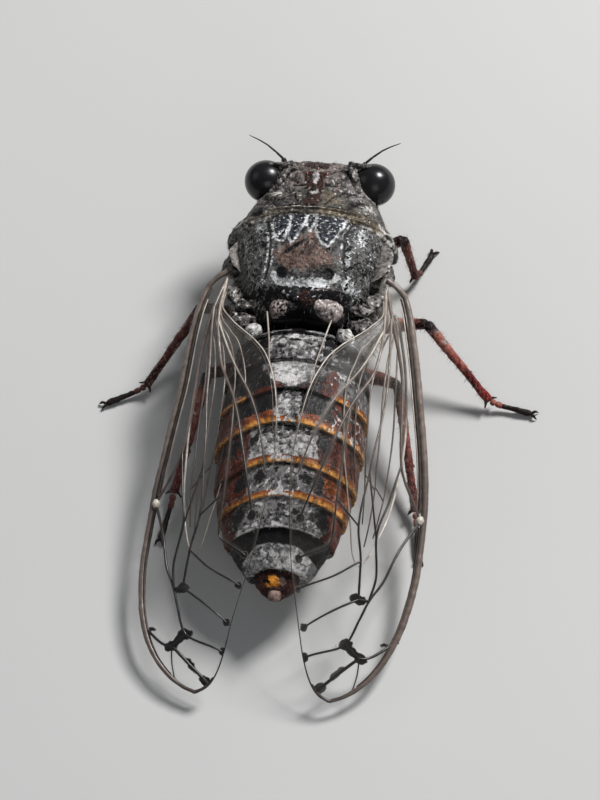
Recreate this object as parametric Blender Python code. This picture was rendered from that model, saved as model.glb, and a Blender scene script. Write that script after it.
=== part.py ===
"""A cicada at life size, resting on its six feet with its wings folded like a roof.

The sizes below are in millimetres, in the insect's own frame: +Y towards the head, +X to the
insect's right, +Z up, with the floor at zero and the wing hinges about 4 mm in front of zero.
The whole is shifted at the end, so that the floor under the middle of its box is the origin.
"""
import math

import bmesh
import bpy
import numpy as np
from mathutils import Vector
from mathutils.geometry import delaunay_2d_cdt

for old in list(bpy.data.objects):
    bpy.data.objects.remove(old, do_unlink=True)

# Sizes that several parts share
MM = 0.001
GAP = 0.3
SHEET = 0.5
HEAD_REAR = 10.15
COLLAR_REAR = 7.35
WAIST = 0.3
TERGITES = (-2.16, -4.14, -6.07, -8.03, -10.09, -12.5, -14.1)
TAIL_END = -15.45
BOW = 0.85

# Colours, as red, green and blue
GREY = (0.30, 0.28, 0.26)
BROWN = (0.16, 0.12, 0.10)
BLACK = (0.02, 0.02, 0.02)
RUST = (0.45, 0.19, 0.06)
LEG_RED = (0.20, 0.06, 0.05)
VEIN_TAN = (0.36, 0.32, 0.26)


def smooth(table):
    """A curve through the (place, value) pairs of a table that never overshoots them."""
    x, y = np.array(sorted(table), float).T
    step = np.diff(x)
    slope = np.diff(y) / step
    tangent = np.concatenate(([slope[0]], np.zeros(len(x) - 2), [slope[-1]]))
    for i in range(1, len(x) - 1):
        if slope[i - 1] * slope[i] > 0:
            near = 2 * step[i] + step[i - 1]
            far = step[i] + 2 * step[i - 1]
            tangent[i] = (near + far) / (near / slope[i - 1] + far / slope[i])

    def value(at):
        at = np.clip(at, x[0], x[-1])
        i = np.clip(np.searchsorted(x, at, side="right") - 1, 0, len(step) - 1)
        t = (at - x[i]) / step[i]
        rise = (3 - 2 * t) * t * t
        turn = t * (1 - t) * step[i] * ((1 - t) * tangent[i] - t * tangent[i + 1])
        return y[i] + rise * (y[i + 1] - y[i]) + turn

    return value


def make(name, points, faces, colour, roughness=0.5):
    """An object from points in millimetres, with its own material."""
    mesh = bpy.data.meshes.new(name)
    mesh.from_pydata([Vector(p) * MM for p in points], [], faces)
    mesh.validate()
    material = bpy.data.materials.new(name)
    material.use_nodes = True
    shader = material.node_tree.nodes["Principled BSDF"]
    shader.inputs["Base Color"].default_value = (*colour, 1)
    shader.inputs["Roughness"].default_value = roughness
    mesh.materials.append(material)
    mesh.shade_smooth()
    mesh.set_sharp_from_angle(angle=math.radians(40))
    piece = bpy.data.objects.new(name, mesh)
    bpy.context.collection.objects.link(piece)
    return piece


def outward(piece):
    """Turns the faces of a closed piece outward."""
    form = bmesh.new()
    form.from_mesh(piece.data)
    bmesh.ops.recalc_face_normals(form, faces=form.faces)
    form.to_mesh(piece.data)
    form.free()
    return piece


def largest_surface(piece):
    """Keeps the largest closed surface of a piece and joins points that coincide."""
    form = bmesh.new()
    form.from_mesh(piece.data)
    bmesh.ops.remove_doubles(form, verts=form.verts, dist=0.00001)
    groups = []
    waiting = set(form.faces)
    while waiting:
        group = {waiting.pop()}
        edge_of_group = list(group)
        while edge_of_group:
            face = edge_of_group.pop()
            for edge in face.edges:
                for other in edge.link_faces:
                    if other in waiting:
                        waiting.remove(other)
                        group.add(other)
                        edge_of_group.append(other)
        groups.append(group)
    best = max(groups, key=lambda faces: sum(face.calc_area() for face in faces))
    bmesh.ops.delete(form, geom=[f for f in form.faces if f not in best], context="FACES")
    form.to_mesh(piece.data)
    form.free()
    return piece


def combine(piece, others, operation):
    """Joins a collection of pieces to a piece, or cuts them out of it, and removes them."""
    group = bpy.data.collections.new(piece.name + "_group")
    for other in others:
        group.objects.link(other)
    modifier = piece.modifiers.new(operation, "BOOLEAN")
    modifier.operation = operation
    modifier.operand_type = "COLLECTION"
    modifier.collection = group
    modifier.solver = "EXACT"
    bpy.context.view_layer.update()
    shape = piece.evaluated_get(bpy.context.evaluated_depsgraph_get())
    mesh = bpy.data.meshes.new_from_object(shape)
    piece.modifiers.clear()
    piece.data = mesh
    for other in others:
        bpy.data.objects.remove(other, do_unlink=True)
    bpy.data.collections.remove(group)
    largest_surface(piece)
    piece.data.materials.clear()
    piece.data.materials.append(bpy.data.materials[piece.name])
    piece.data.shade_smooth()
    piece.data.set_sharp_from_angle(angle=math.radians(40))
    return piece


def loft(name, rings, colour, roughness=0.5, swept=False):
    """A closed skin over rings of equal count, with a fan of triangles at each end.

    The fans of swept rings meet at their foremost point, so that two of them lie parallel.
    """
    count = len(rings[0])
    points = [p for one in rings for p in one]
    faces = []
    for r in range(len(rings) - 1):
        for i in range(count):
            j = (i + 1) % count
            a, b = r * count + i, r * count + j
            c, d = b + count, a + count
            faces += [(a, b, c), (a, c, d)]
    for ring, start in ((rings[0], 0), (rings[-1], len(points) - count)):
        centre = len(points)
        middle = np.mean(ring, axis=0)
        if swept:
            middle[1] = max(p[1] for p in ring)
        points.append(tuple(middle))
        faces += [(start + i, start + (i + 1) % count, centre) for i in range(count)]
    return outward(make(name, points, faces, colour, roughness))


def ring(y, half, top, bottom, middle, bow=0.0, upper=2.2, lower=2.2, sides=28):
    """A cross-section of the trunk: two half superellipses, swept back towards the sides."""
    points = []
    for i in range(sides):
        turn = math.tau * (i + 0.5) / sides
        across, rise = math.cos(turn), math.sin(turn)
        power = upper if rise > 0 else lower
        x = half * math.copysign(abs(across) ** (2 / power), across)
        reach = top - middle if rise > 0 else middle - bottom
        z = middle + reach * math.copysign(abs(rise) ** (2 / power), rise)
        points.append((x, y - bow * (x / half) ** 2, z))
    return points


def tube(name, path, radii, colour, sides=8, flat=1.0, floor=None, roughness=0.45, tip=0.6,
         steps=None):
    """A limb along a smooth path: its radii are spread over the path and its ends are domed."""
    path = [Vector(p) for p in path]
    length = np.cumsum([0] + [(b - a).length for a, b in zip(path, path[1:])])
    place = [smooth(list(zip(length, [p[k] for p in path]))) for k in range(3)]
    radius = smooth(list(zip(np.linspace(0, length[-1], len(radii)), radii)))
    steps = steps or max(4, round(length[-1] / 0.9))
    ends = (0.0, tip * radii[0] / length[-1], 1 - tip * radii[-1] / length[-1], 1.0)
    inner = np.linspace(ends[1], ends[2], steps)
    rings = []
    side = None
    for fraction in [ends[0], *inner, ends[3]]:
        at = fraction * length[-1]
        here = Vector([f(at) for f in place])
        ahead = Vector([f(at + 0.01) - f(at - 0.01) for f in place]).normalized()
        guide = side or (Vector((0, 0, 1)) if abs(ahead.z) < 0.8 else Vector((0, 1, 0)))
        side = (guide - ahead * guide.dot(ahead)).normalized()
        across = ahead.cross(side)
        size = float(radius(at)) * (0.5 if fraction in (0.0, 1.0) else 1.0)
        one = []
        for i in range(sides):
            turn = math.tau * (i + 0.5) / sides
            p = here + size * (side * math.sin(turn) + across * math.cos(turn) * flat)
            one.append((p.x, p.y, p.z if floor is None else max(p.z, floor)))
        rings.append(one)
    return loft(name, rings, colour, roughness)


def ball(name, centre, radii, colour, roughness=0.4, u=20, v=12):
    """An ellipsoid."""
    form = bmesh.new()
    bmesh.ops.create_uvsphere(form, u_segments=u, v_segments=v, radius=1)
    points = [tuple(centre[k] + radii[k] * p.co[k] for k in range(3)) for p in form.verts]
    faces = [tuple(p.index for p in face.verts) for face in form.faces]
    form.free()
    return outward(make(name, points, faces, colour, roughness))


def spaced(path, step):
    """Points a step apart along a smooth curve through the points of a path."""
    path = np.array(path, float)
    length = np.concatenate(([0], np.cumsum(np.linalg.norm(np.diff(path, axis=0), axis=1))))
    at = np.linspace(0, length[-1], max(2, round(length[-1] / step) + 1))
    return np.stack([smooth(list(zip(length, path[:, k])))(at) for k in range(2)], axis=1)


def off_line(points, line):
    """The distance of each point from a line of short straight pieces."""
    best = np.full(len(points), 1e9)
    for a, b in zip(line, line[1:]):
        run = b - a
        t = np.clip(((points - a) @ run) / (run @ run), 0, 1)
        best = np.minimum(best, np.linalg.norm(points - a - t[:, None] * run, axis=1))
    return best


def sheet(name, outline, veins, height, colour, ridge, mesh_step, extra=None):
    """A thin curved plate over a plan, with its veins raised as ridges on its upper face.

    Both faces have the same triangles. A vein is a path and its width.
    """
    points = [tuple(p) for p in outline]
    edges = [(i, (i + 1) % len(points)) for i in range(len(points))]
    border = np.array(points + points[:1])
    lines = []
    for path, width in veins:
        line = spaced(path, mesh_step)
        lines.append((line, width))
        along = np.gradient(line, axis=0)
        along /= np.linalg.norm(along, axis=1)[:, None]
        normal = np.stack([-along[:, 1], along[:, 0]], axis=1)
        for offset in (-width / 2, 0, width / 2):
            start = len(points)
            strand = line + offset * normal
            points += [tuple(p) for p in strand]
            edges += [(start + i, start + i + 1) for i in range(len(strand) - 1)]
    low, high = border.min(axis=0), border.max(axis=0)
    count = ((high - low) / mesh_step).astype(int) + 1
    grid = np.array([(low[0] + (i + 0.5 * (j % 2)) * mesh_step, low[1] + j * mesh_step)
                     for i in range(count[0]) for j in range(count[1])])
    clear = off_line(grid, border) > 0.4 * mesh_step
    for line, width in lines:
        clear &= off_line(grid, line) > width / 2 + 0.3 * mesh_step
    points += [tuple(p) for p in grid[clear]]
    plan = delaunay_2d_cdt([Vector(p) for p in points], edges, [tuple(range(len(outline)))],
                           1, 0.04)
    used = sorted({i for face in plan[2] for i in face})
    flat = np.array([tuple(plan[0][i]) for i in used])
    place = {i: k for k, i in enumerate(used)}
    triangles = [tuple(place[i] for i in face) for face in plan[2]]
    rise = np.zeros(len(flat))
    for line, width in lines:
        rise = np.maximum(rise, ridge * np.clip(1 - off_line(flat, line) / (width / 2), 0, 1))
    if extra:
        rise += [extra(x, y) for x, y in flat]
    tops, undersides = [], []
    for (x, y), up in zip(flat, rise):
        middle = Vector((x, y, height(x, y)))
        slope_x = (height(x + 0.02, y) - height(x - 0.02, y)) / 0.04
        slope_y = (height(x, y + 0.02) - height(x, y - 0.02)) / 0.04
        normal = Vector((-slope_x, -slope_y, 1)).normalized()
        tops.append(middle + normal * (SHEET / 2 + up))
        undersides.append(middle - normal * SHEET / 2)
    count = len(flat)
    faces = triangles + [tuple(i + count for i in reversed(face)) for face in triangles]
    sides = {}
    for face in triangles:
        for a, b in zip(face, face[1:] + face[:1]):
            sides[(a, b)] = sides.get((a, b), 0) + 1
    for a, b in sides:
        if (b, a) not in sides:
            faces += [(b, a, a + count), (b, a + count, b + count)]
    return outward(make(name, [tuple(p) for p in tops + undersides], faces, colour, 0.35))


# Head
# The eyes and the swollen face sit in sockets cut into it.
EYE = (3.35, 11.15, 6.5)
EYE_RADII = (1.3, 1.28, 1.3)
FACE = (0.0, 11.75, 4.85)
FACE_RADII = (1.6, 1.4, 1.75)
head_half = smooth([(HEAD_REAR, 3.5), (10.8, 3.4), (11.5, 3.3), (12.2, 3.05), (12.65, 2.6)])
head_top = smooth([(HEAD_REAR, 7.7), (10.8, 7.65), (11.6, 7.3), (12.2, 6.85), (12.65, 6.2)])
head_low = smooth([(HEAD_REAR, 3.5), (11.0, 3.2), (12.0, 3.9), (12.65, 5.2)])
rings = []
for y in (HEAD_REAR, 10.5, 10.9, 11.3, 11.7, 12.05, 12.35, 12.65):
    rings.append(ring(y, head_half(y), head_top(y), head_low(y), 6.0, bow=0.35))
head = loft("head", rings, GREY, 0.6, swept=True)
sockets = []
for side in (-1, 1):
    room = [r + GAP + 0.02 for r in EYE_RADII]
    sockets.append(ball("socket", (side * EYE[0], *EYE[1:]), room, BLACK))
sockets.append(ball("socket", FACE, [r + GAP + 0.02 for r in FACE_RADII], BLACK, u=20, v=12))
combine(head, sockets, "DIFFERENCE")
for side, label in ((-1, "left"), (1, "right")):
    ball("eye_" + label, (side * EYE[0], *EYE[1:]), EYE_RADII, BLACK, 0.1)

# Face
# The swollen sucking pump, with a row of shallow ribs down each side.
FACE_RIBS = 6
FACE_RIB_DEPTH = 0.05
face = ball("clypeus", FACE, FACE_RADII, BROWN, u=20, v=18)
for vertex in face.data.vertices:
    local = [(vertex.co[k] / MM - FACE[k]) / FACE_RADII[k] for k in range(3)]
    rib = math.cos(local[2] * math.pi * FACE_RIBS) * min(1, abs(local[0]) * 2)
    push = FACE_RIB_DEPTH * rib * max(0, local[1])
    vertex.co += Vector((local[0], local[1], 0)) * push * MM

# Beak
# A straight tube folded back under the chest.
BEAK = ((0, 11.55, 2.35), (0, 10.2, 1.35), (0, 7.5, 1.15), (0, 4.6, 1.0))
tube("rostrum", BEAK, (0.5, 0.45, 0.36, 0.28), BROWN)

# Feelers
# Two short joints and a bristle that thins to its tip.
for side, label in ((-1, "left"), (1, "right")):
    path = [(side * x, y, z) for x, y, z in ((2.3, 12.95, 5.65), (2.8, 13.25, 6.0), (3.6, 13.65, 6.45),
                                             (4.6, 13.95, 6.85))]
    tube("antenna_" + label, path, (0.34, 0.28, 0.25, 0.2, 0.12), BLACK)

# Shield behind the head
# It widens to a rear collar with a rounded lobe on each side.
shield_half = smooth([(COLLAR_REAR, 5.05), (7.7, 5.0), (8.2, 4.6), (9.0, 4.15), (9.85, 3.75)])
shield_top = smooth([(COLLAR_REAR, 8.85), (7.8, 8.95), (8.5, 8.6), (9.2, 8.15), (9.85, 7.75)])
bow_at = smooth([(WAIST, 0.0), (3.0, 0.3), (COLLAR_REAR, BOW), (9.0, 0.5), (9.85, 0.4)])
rings = []
for y in (COLLAR_REAR, 7.5, 7.9, 8.3, 8.8, 9.3, 9.7, 9.85):
    shrink = 0.04 if y in (COLLAR_REAR, 9.85) else 0.0
    rings.append(ring(y, shield_half(y) - shrink, shield_top(y) - shrink, 4.6, 5.9, bow=bow_at(y),
                      lower=4))
loft("pronotum", rings, GREY, 0.6, swept=True)

# Underside of the front of the chest, which carries the front legs
rings = []
for y, half in ((9.75, 2.3), (9.3, 2.75), (8.4, 3.0), (7.5, 3.1)):
    rings.append(ring(y, half, 4.6 - GAP, 2.1, 3.4, upper=4, bow=0.4))
loft("prosternum", rings, BROWN, swept=True)

# Back of the chest
# A dome with a raised cross at its rear, whose hind arms overhang a dark hollow.
CHEST_FRONT = COLLAR_REAR - GAP - 0.18
SHELF = 6.2
back_half = smooth([(1.0, 2.4), (2.0, 3.05), (3.2, 3.55), (4.5, 3.95), (6.0, 4.3), (6.9, 4.4)])
back_top = smooth([(1.0, 7.35), (1.6, 8.0), (2.4, 8.75), (3.2, 9.1), (4.6, 9.35), (6.0, 9.1),
                   (6.9, 8.55)])
rings = []
for y in (1.0, 1.5, 2.1, 2.7, 3.4, 4.2, 5.0, 5.8, 6.5, CHEST_FRONT):
    rings.append(ring(y, back_half(y), back_top(y), SHELF + GAP, 6.9, bow=bow_at(y), lower=5))
back = loft("mesonotum", rings, GREY, 0.6, swept=True)
CROSS = (0, 1.75, 8.35)
arms = [ball("arm", CROSS, (0.95, 0.85, 0.62), GREY, u=12, v=8)]
for side in (-1, 1):
    front = [CROSS, (side * 1.0, 2.25, 8.4), (side * 2.0, 2.9, 8.2)]
    rear = [CROSS, (side * 1.0, 1.2, 8.35), (side * 1.85, 0.75, 8.2)]
    arms.append(tube("arm", front, (0.5, 0.45, 0.3), GREY, flat=1.2))
    arms.append(tube("arm", rear, (0.5, 0.5, 0.42), GREY, flat=1.3))
combine(back, arms, "UNION")

# Sides and underside of the chest, with the shelf where the wings are hinged
chest_half = smooth([(WAIST + 0.1, 3.7), (1.5, 4.25), (3.5, 4.6), (5.5, 4.65), (7.0, 4.35)])
rings = []
for y in (WAIST + 0.1, 1.0, 2.2, 3.6, 5.0, 6.2, CHEST_FRONT):
    rings.append(ring(y, chest_half(y), SHELF, 2.05, 4.7, upper=4, lower=2.3, bow=bow_at(y)))
loft("thorax", rings, BROWN, swept=True)

# Abdomen
# Each ring of plates is a little wider at its rear edge, which overlaps the next.
LIP = 0.1
abdomen_half = smooth([(0.2, 3.7), (-1.0, 4.05), (-3.0, 4.25), (-5.0, 4.3), (-8.0, 4.1), (-10.0, 3.75),
                       (-12.0, 3.15), (-13.2, 2.6), (-14.1, 2.05), (-14.6, 1.6), (TAIL_END, 0.75)])
abdomen_top = smooth([(0.2, 7.35), (-0.5, 7.8), (-2.0, 8.15), (-4.0, 8.25), (-6.0, 8.1), (-8.0, 7.65),
                      (-10.0, 6.95), (-12.0, 6.0), (-13.2, 5.3), (-14.1, 4.7), (-14.7, 4.25),
                      (TAIL_END, 3.55)])
abdomen_low = smooth([(0.2, 2.4), (-1.0, 1.95), (-5.0, 1.8), (-9.0, 1.95), (-12.0, 2.2),
                      (-14.1, 2.55), (TAIL_END, 2.75)])


def abdomen_ring(y, lip, sides=28):
    low, top = abdomen_low(y), abdomen_top(y)
    middle = low + 0.45 * (top - low)
    return ring(y, abdomen_half(y) + lip, top + lip, low - 0.5 * lip, middle, sides=sides)


def plates(name, front, edges, rear, colour):
    """A length of the abdomen, with a step down behind each edge."""
    stations = [(front, 0.0)]
    last = front
    for edge in edges:
        stations += [((last + edge) / 2, 0.35 * LIP), (edge + 0.12, LIP), (edge, 0.0)]
        last = edge
    stations += [((last + rear) / 2, 0.35 * LIP), (rear, LIP)]
    return loft(name, [abdomen_ring(y, lip) for y, lip in stations], colour)


plates("abdomen_base", WAIST - GAP - 0.1, (), TERGITES[0], GREY)
plates("abdomen_middle", TERGITES[0] - GAP, TERGITES[1:3], TERGITES[3], RUST)
plates("abdomen_rear", TERGITES[3] - GAP, TERGITES[4:5], TERGITES[5], GREY)
plates("abdomen_end", TERGITES[5] - GAP, (), TERGITES[6], GREY)
rings = [abdomen_ring(y, lip) for y, lip in ((TERGITES[6] - GAP, -0.25), (-14.75, 0.0), (-15.1, 0.0), (TAIL_END, 0.0))]
loft("pygofer", rings, BROWN)

# Sound plates under the base of the abdomen
for side, label in ((-1, "left"), (1, "right")):
    outline = []
    for i in range(20):
        turn = math.tau * i / 20
        outline.append((side * (1.9 + 1.45 * math.cos(turn)), -1.1 + 1.5 * math.sin(turn)))
    if side < 0:
        outline.reverse()

    def below_belly(x, y):
        low, top = abdomen_low(-1.0), abdomen_top(-1.0)
        middle = low + 0.45 * (top - low)
        curve = max(0.0, 1 - abs(x / abdomen_half(-1.0)) ** 2.2) ** (1 / 2.2)
        return middle - (middle - low) * curve - GAP - SHEET / 2 - 0.3

    sheet("operculum_" + label, outline, [], below_belly, BROWN, 0, 0.9)

# Fore wings
# Plan of the right wing: its outer and inner edges, and the height along each.
WING_FRONT = 4.6
WING_TIP = -20.62
outer_edge = smooth([(WING_FRONT, 4.75), (4.2, 5.4), (3.5, 5.95), (0.6, 6.75), (-3.5, 7.5), (-6.4, 7.95),
                     (-9.0, 8.15), (-12.6, 8.05), (-15.4, 7.6), (-17.2, 7.0), (-18.6, 6.25),
                     (-19.7, 5.25), (-20.3, 4.35), (WING_TIP, 3.5)])
inner_edge = smooth([(WING_FRONT, 4.5), (3.4, 4.35), (2.6, 4.6), (1.6, 4.7), (0.4, 4.0), (-1.1, 2.6),
                     (-2.0, 2.0), (-3.2, 1.5), (-4.3, 1.15), (-7.0, 0.72), (-9.0, 0.55), (-12.0, 0.72), (-14.5, 1.0),
                     (-16.2, 1.35), (-17.6, 1.65), (-18.8, 1.95), (-20.1, 2.6), (WING_TIP, 3.4)])
outer_height = smooth([(WING_FRONT, 6.85), (3.5, 6.35), (0, 5.25), (-5.0, 3.8), (-9.5, 2.65), (-12.0, 2.2),
                       (-16.0, 1.6), (WING_TIP, 0.9)])
inner_height = smooth([(WING_FRONT, 7.0), (2.6, 7.2), (1.0, 7.6), (-1.3, 8.3), (-2.3, 8.65), (-4.3, 8.9), (-7.0, 8.8),
                       (-9.0, 8.3), (-11.0, 7.65), (-14.0, 6.1), (-17.0, 4.2), (WING_TIP, 1.0)])
ROOF_BEND = 1.8
# The left wing lies a little nearer the body than the right one at its middle, and further out at its tip.
left_lean = smooth([(WING_FRONT, 0.0), (1.0, -0.1), (-3.3, -0.38), (-5.6, -0.38), (-9.7, -0.15), (-11.8, 0.05),
                    (-16.0, 0.5), (-17.8, 0.65), (WING_TIP, 0.7)])


def lean(side, y):
    return left_lean(y) if side < 0 else 0.0


def roof(x, y):
    """The height of the fore wings' middle surface on either side of the body."""
    inner, outer = inner_edge(y), outer_edge(y)
    across = (abs(x) - lean(x, y) - inner) / max(outer - inner, 0.3)
    across = min(max(across, 0.0), 1.15)
    high, low = inner_height(y), outer_height(y)
    return high - (high - low) * across ** ROOF_BEND


# Joints of the fore wing's veins on the plan of the right wing, as x and y
JOINTS = {
    "root": (4.75, 3.75), "basal_out": (5.3, 1.6), "basal_in": (4.95, 0.5),
    "node": (7.85, -9.6), "sector_fork": (6.6, -7.1), "sector_mid": (6.8, -12.1),
    "medial_fork": (4.95, -8.4), "medial_out": (5.6, -11.9), "medial_in": (4.6, -11.6),
    "cubital_fork": (3.6, -5.0), "cubital_mid": (3.3, -10.6),
    "cross_high": (4.85, -13.4), "cross_low": (4.85, -15.4), "sector_low": (5.45, -15.3),
    "apex_in": (4.3, -17.8), "apex_out": (5.1, -18.2), "costa_low": (6.75, -17.1),
    "end_1": (3.05, -20.0), "end_2": (2.4, -18.7), "end_3": (2.1, -17.3), "end_4": (1.75, -15.65),
    "end_5": (1.5, -14.0), "end_6": (1.4, -12.1), "end_7": (1.25, -9.6),
}
# Each vein's joints and its width
VEINS = (
    (("root", "basal_out", (6.2, -2.0), "sector_fork", "node"), 0.4),
    (("root", "basal_in", (4.75, -1.9), "cubital_fork", (2.6, -8.2), "end_6"), 0.4),
    (("basal_out", (5.45, -2.9), "medial_fork"), 0.36),
    (("basal_in", (3.9, -2.5), (2.5, -5.2), (1.7, -8.0), "end_7"), 0.34),
    (("sector_fork", (6.1, -9.6), "medial_out", (5.75, -13.8), "sector_low"), 0.34),
    (("medial_fork", "medial_in", "cross_high", "cross_low"), 0.34),
    (("medial_fork", "medial_out"), 0.34),
    (("cubital_fork", "cubital_mid", (3.2, -12.8), "end_5"), 0.34),
    (("cubital_mid", "medial_in"), 0.34),
    (("cross_high", (3.4, -14.6), "end_4"), 0.34),
    (("cross_low", (3.1, -16.6), "end_3"), 0.36),
    (("node", "sector_mid", (6.15, -14.0), "sector_low", (5.0, -16.4), "apex_in", "end_2"), 0.38),
    (("cross_low", "sector_low"), 0.5),
    (("apex_in", "apex_out", "costa_low"), 0.5),
    (("apex_out", (3.9, -19.3), "end_1"), 0.5),
)


def wing_plan(step=0.9, inset=0.0):
    """The outline of the right wing in plan, from the root round the tip and back."""
    outer = [(outer_edge(y) - inset, y) for y in np.linspace(WING_FRONT - inset, WING_TIP + inset, 80)]
    inner = [(inner_edge(y) + inset, y) for y in np.linspace(WING_TIP + inset, WING_FRONT - inset, 80)]
    return [tuple(p) for p in spaced(outer, step)] + [tuple(p) for p in spaced(inner, step)]


def placed(point, side):
    """A point of the right wing's plan on either side."""
    return (side * (point[0] + lean(side, point[1])), point[1])


for side, label in ((-1, "left"), (1, "right")):
    outline = [placed(p, side) for p in wing_plan()]
    veins = []
    for stops, width in VEINS:
        path = [JOINTS[s] if isinstance(s, str) else s for s in stops]
        veins.append(([placed(p, side) for p in path], width))
    costa = [(outer_edge(y) - 0.3, y) for y in np.linspace(3.8, -19.9, 24)]
    hem = [(inner_edge(y) + 0.42, y) for y in np.linspace(-19.4, -8.5, 12)]
    claval = [(inner_edge(y) + 0.3, y) for y in np.linspace(-7.5, 2.4, 12)]
    for path, width in ((costa, 0.44), (hem, 0.3), (claval, 0.34)):
        veins.append(([placed(p, side) for p in path], width))

    def thick_root(x, y):
        return 0.35 * math.exp(-((abs(x) - 4.8) ** 2 + (y - 3.9) ** 2) / 0.9)

    if side > 0:
        outline.reverse()
    sheet("forewing_" + label, outline, veins, roof, VEIN_TAN, 0.16, 1.1, thick_root)

# Hind wings
# Shorter plates under the fore wings, beside the abdomen.
UNDER = 2 * (SHEET / 2) + GAP + 0.24
hind_outer = smooth([(2.6, 5.3), (1.5, 5.75), (-1.5, 6.35), (-5.0, 6.6), (-8.4, 6.4), (-10.5, 5.9),
                     (-11.9, 5.45), (-12.8, 5.05), (-13.2, 4.8)])
hind_inner = smooth([(2.6, 5.0), (1.5, 5.0), (-1.0, 4.9), (-4.0, 4.95), (-7.0, 4.8), (-9.5, 4.5),
                     (-11.5, 4.3), (-12.7, 4.4), (-13.2, 4.7)])


def under_roof(x, y):
    """The height of the hind wings' middle surface, held clear below the fore wings."""
    slope_x = (roof(x + 0.1, y) - roof(x - 0.1, y)) / 0.2
    slope_y = (roof(x, y + 0.1) - roof(x, y - 0.1)) / 0.2
    return roof(x, y) - UNDER * math.sqrt(1 + slope_x ** 2 + slope_y ** 2)


for side, label in ((-1, "left"), (1, "right")):
    outer = [(side * hind_outer(y), y) for y in np.linspace(2.6, -13.2, 40)]
    inner = [(side * hind_inner(y), y) for y in np.linspace(-13.2, 2.6, 40)]
    outline = [tuple(p) for p in spaced(outer, 0.9)] + [tuple(p) for p in spaced(inner, 0.9)]
    if side > 0:
        outline.reverse()
    middle = [(side * (0.45 * hind_inner(y) + 0.55 * hind_outer(y)), y) for y in (1.9, -2, -6, -10.6)]
    sheet("hindwing_" + label, outline, [(middle, 0.34)], under_roof, VEIN_TAN, 0.12, 1.1)

# Legs
# Root, knee, ankle and claw of each leg, with the thickness of its thigh.
KNEE = 0.42
ANKLE = 0.3
LEGS = {
    "foreleg_left": ((-2.1, 8.5, 1.4), (-5.0, 9.0, 3.9), (-5.2, 8.5, 0.85), (-4.6, 10.9, 0.22), 0.62),
    "foreleg_right": ((2.1, 8.5, 1.4), (5.1, 9.0, 3.95), (5.8, 8.2, 0.85), (6.6, 10.3, 0.22), 0.62),
    "midleg_left": ((-2.4, 4.2, 1.4), (-6.5, 3.4, 4.0), (-9.7, -0.4, 0.7), (-12.0, -1.5, 0.22), 0.46),
    "midleg_right": ((2.4, 4.2, 1.4), (7.1, 3.1, 4.1), (11.0, 0.0, 0.7), (13.5, -0.4, 0.22), 0.46),
    "hindleg_left": ((-2.5, 1.3, 1.4), (-5.7, -0.7, 3.2), (-7.1, -7.6, 0.75), (-7.6, -10.4, 0.22), 0.44),
    "hindleg_right": ((2.5, 1.3, 1.4), (5.7, -0.7, 3.2), (7.3, -7.8, 0.75), (7.7, -10.6, 0.22), 0.44),
}
for label, (root, knee, ankle, claw, thick) in LEGS.items():
    root, knee, ankle, claw = (Vector(p) for p in (root, knee, ankle, claw))
    bend = root.lerp(knee, 0.3) + Vector((0, 0, -0.22))
    thigh = [root, bend, root.lerp(knee, 0.65), knee]
    piece = tube(label + "_femur", thigh, (0.5, 0.52, thick, KNEE, KNEE * 0.8), LEG_RED)
    if label.startswith("fore"):
        spines = []
        for place, size in ((0.45, 0.55), (0.72, 0.42)):
            foot = root.lerp(knee, place)
            tip = foot + Vector((0, 0.1, -1)) * (thick + size)
            spines.append(tube("spine", (foot, foot.lerp(tip, 0.6), tip), (0.3, 0.24, 0.06), LEG_RED, sides=5, steps=2))
        combine(piece, spines, "UNION")
    down = (ankle - knee).normalized()
    fold = down.angle(root - knee)
    start = knee + down * (KNEE + GAP + 0.05) / max(0.7, math.sin(min(fold, math.pi / 2)))
    shin = [start, start.lerp(ankle, 0.5), ankle]
    piece = tube(label + "_tibia", shin, (0.34, 0.27, 0.27, ANKLE), LEG_RED)
    if not label.startswith("fore"):
        spurs = []
        across = down.cross(Vector((0, 0, 1))).normalized()
        for turn in (-1, 1):
            tip = ankle + across * turn * 0.55 + down * 0.1
            spurs.append(tube("spur", (ankle - down * 0.3, tip), (0.2, 0.06), LEG_RED, sides=5,
                              steps=2))
        combine(piece, spurs, "UNION")
    ahead = (claw - ankle).normalized()
    toe = ankle + ahead * (ANKLE + GAP)
    mid = toe.lerp(claw, 0.45)
    mid.z = 0.27
    foot = tube(label + "_tarsus", (toe, mid, claw), (0.26, 0.27, 0.27, 0.25), LEG_RED, floor=0.0)
    claws = []
    across = Vector((-ahead.y, ahead.x, 0)).normalized()
    for turn in (-1, 1):
        tip = claw + Vector((ahead.x, ahead.y, 0)).normalized() * 0.35 + across * turn * 0.35
        tip.z = 0.12
        claws.append(tube("claw", (claw - across * turn * -0.05, tip), (0.18, 0.05), LEG_RED, sides=5,
                          floor=0.0, steps=2))
    combine(foot, claws, "UNION")

# The origin goes to the floor under the middle of the whole
corners = [p.co for piece in bpy.data.objects for p in piece.data.vertices]
low = [min(p[k] for p in corners) for k in range(3)]
high = [max(p[k] for p in corners) for k in range(3)]
stand = bpy.data.objects.new("stand_point", None)
bpy.context.collection.objects.link(stand)
for piece in bpy.data.objects:
    if piece.type == "MESH":
        piece.parent = stand
stand.location = (-(low[0] + high[0]) / 2, -(low[1] + high[1]) / 2, -low[2])
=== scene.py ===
"""A life-size cicada at rest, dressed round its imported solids.

Sizes are in millimetres in the insect's own frame, as in the solids: +Y to the head, +X to its
right, +Z up, with the floor at zero. SHIFT takes that frame to the frame of the solids.
"""
import math

import bmesh
import bpy
import numpy as np
from mathutils import Matrix, Vector, noise


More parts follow.
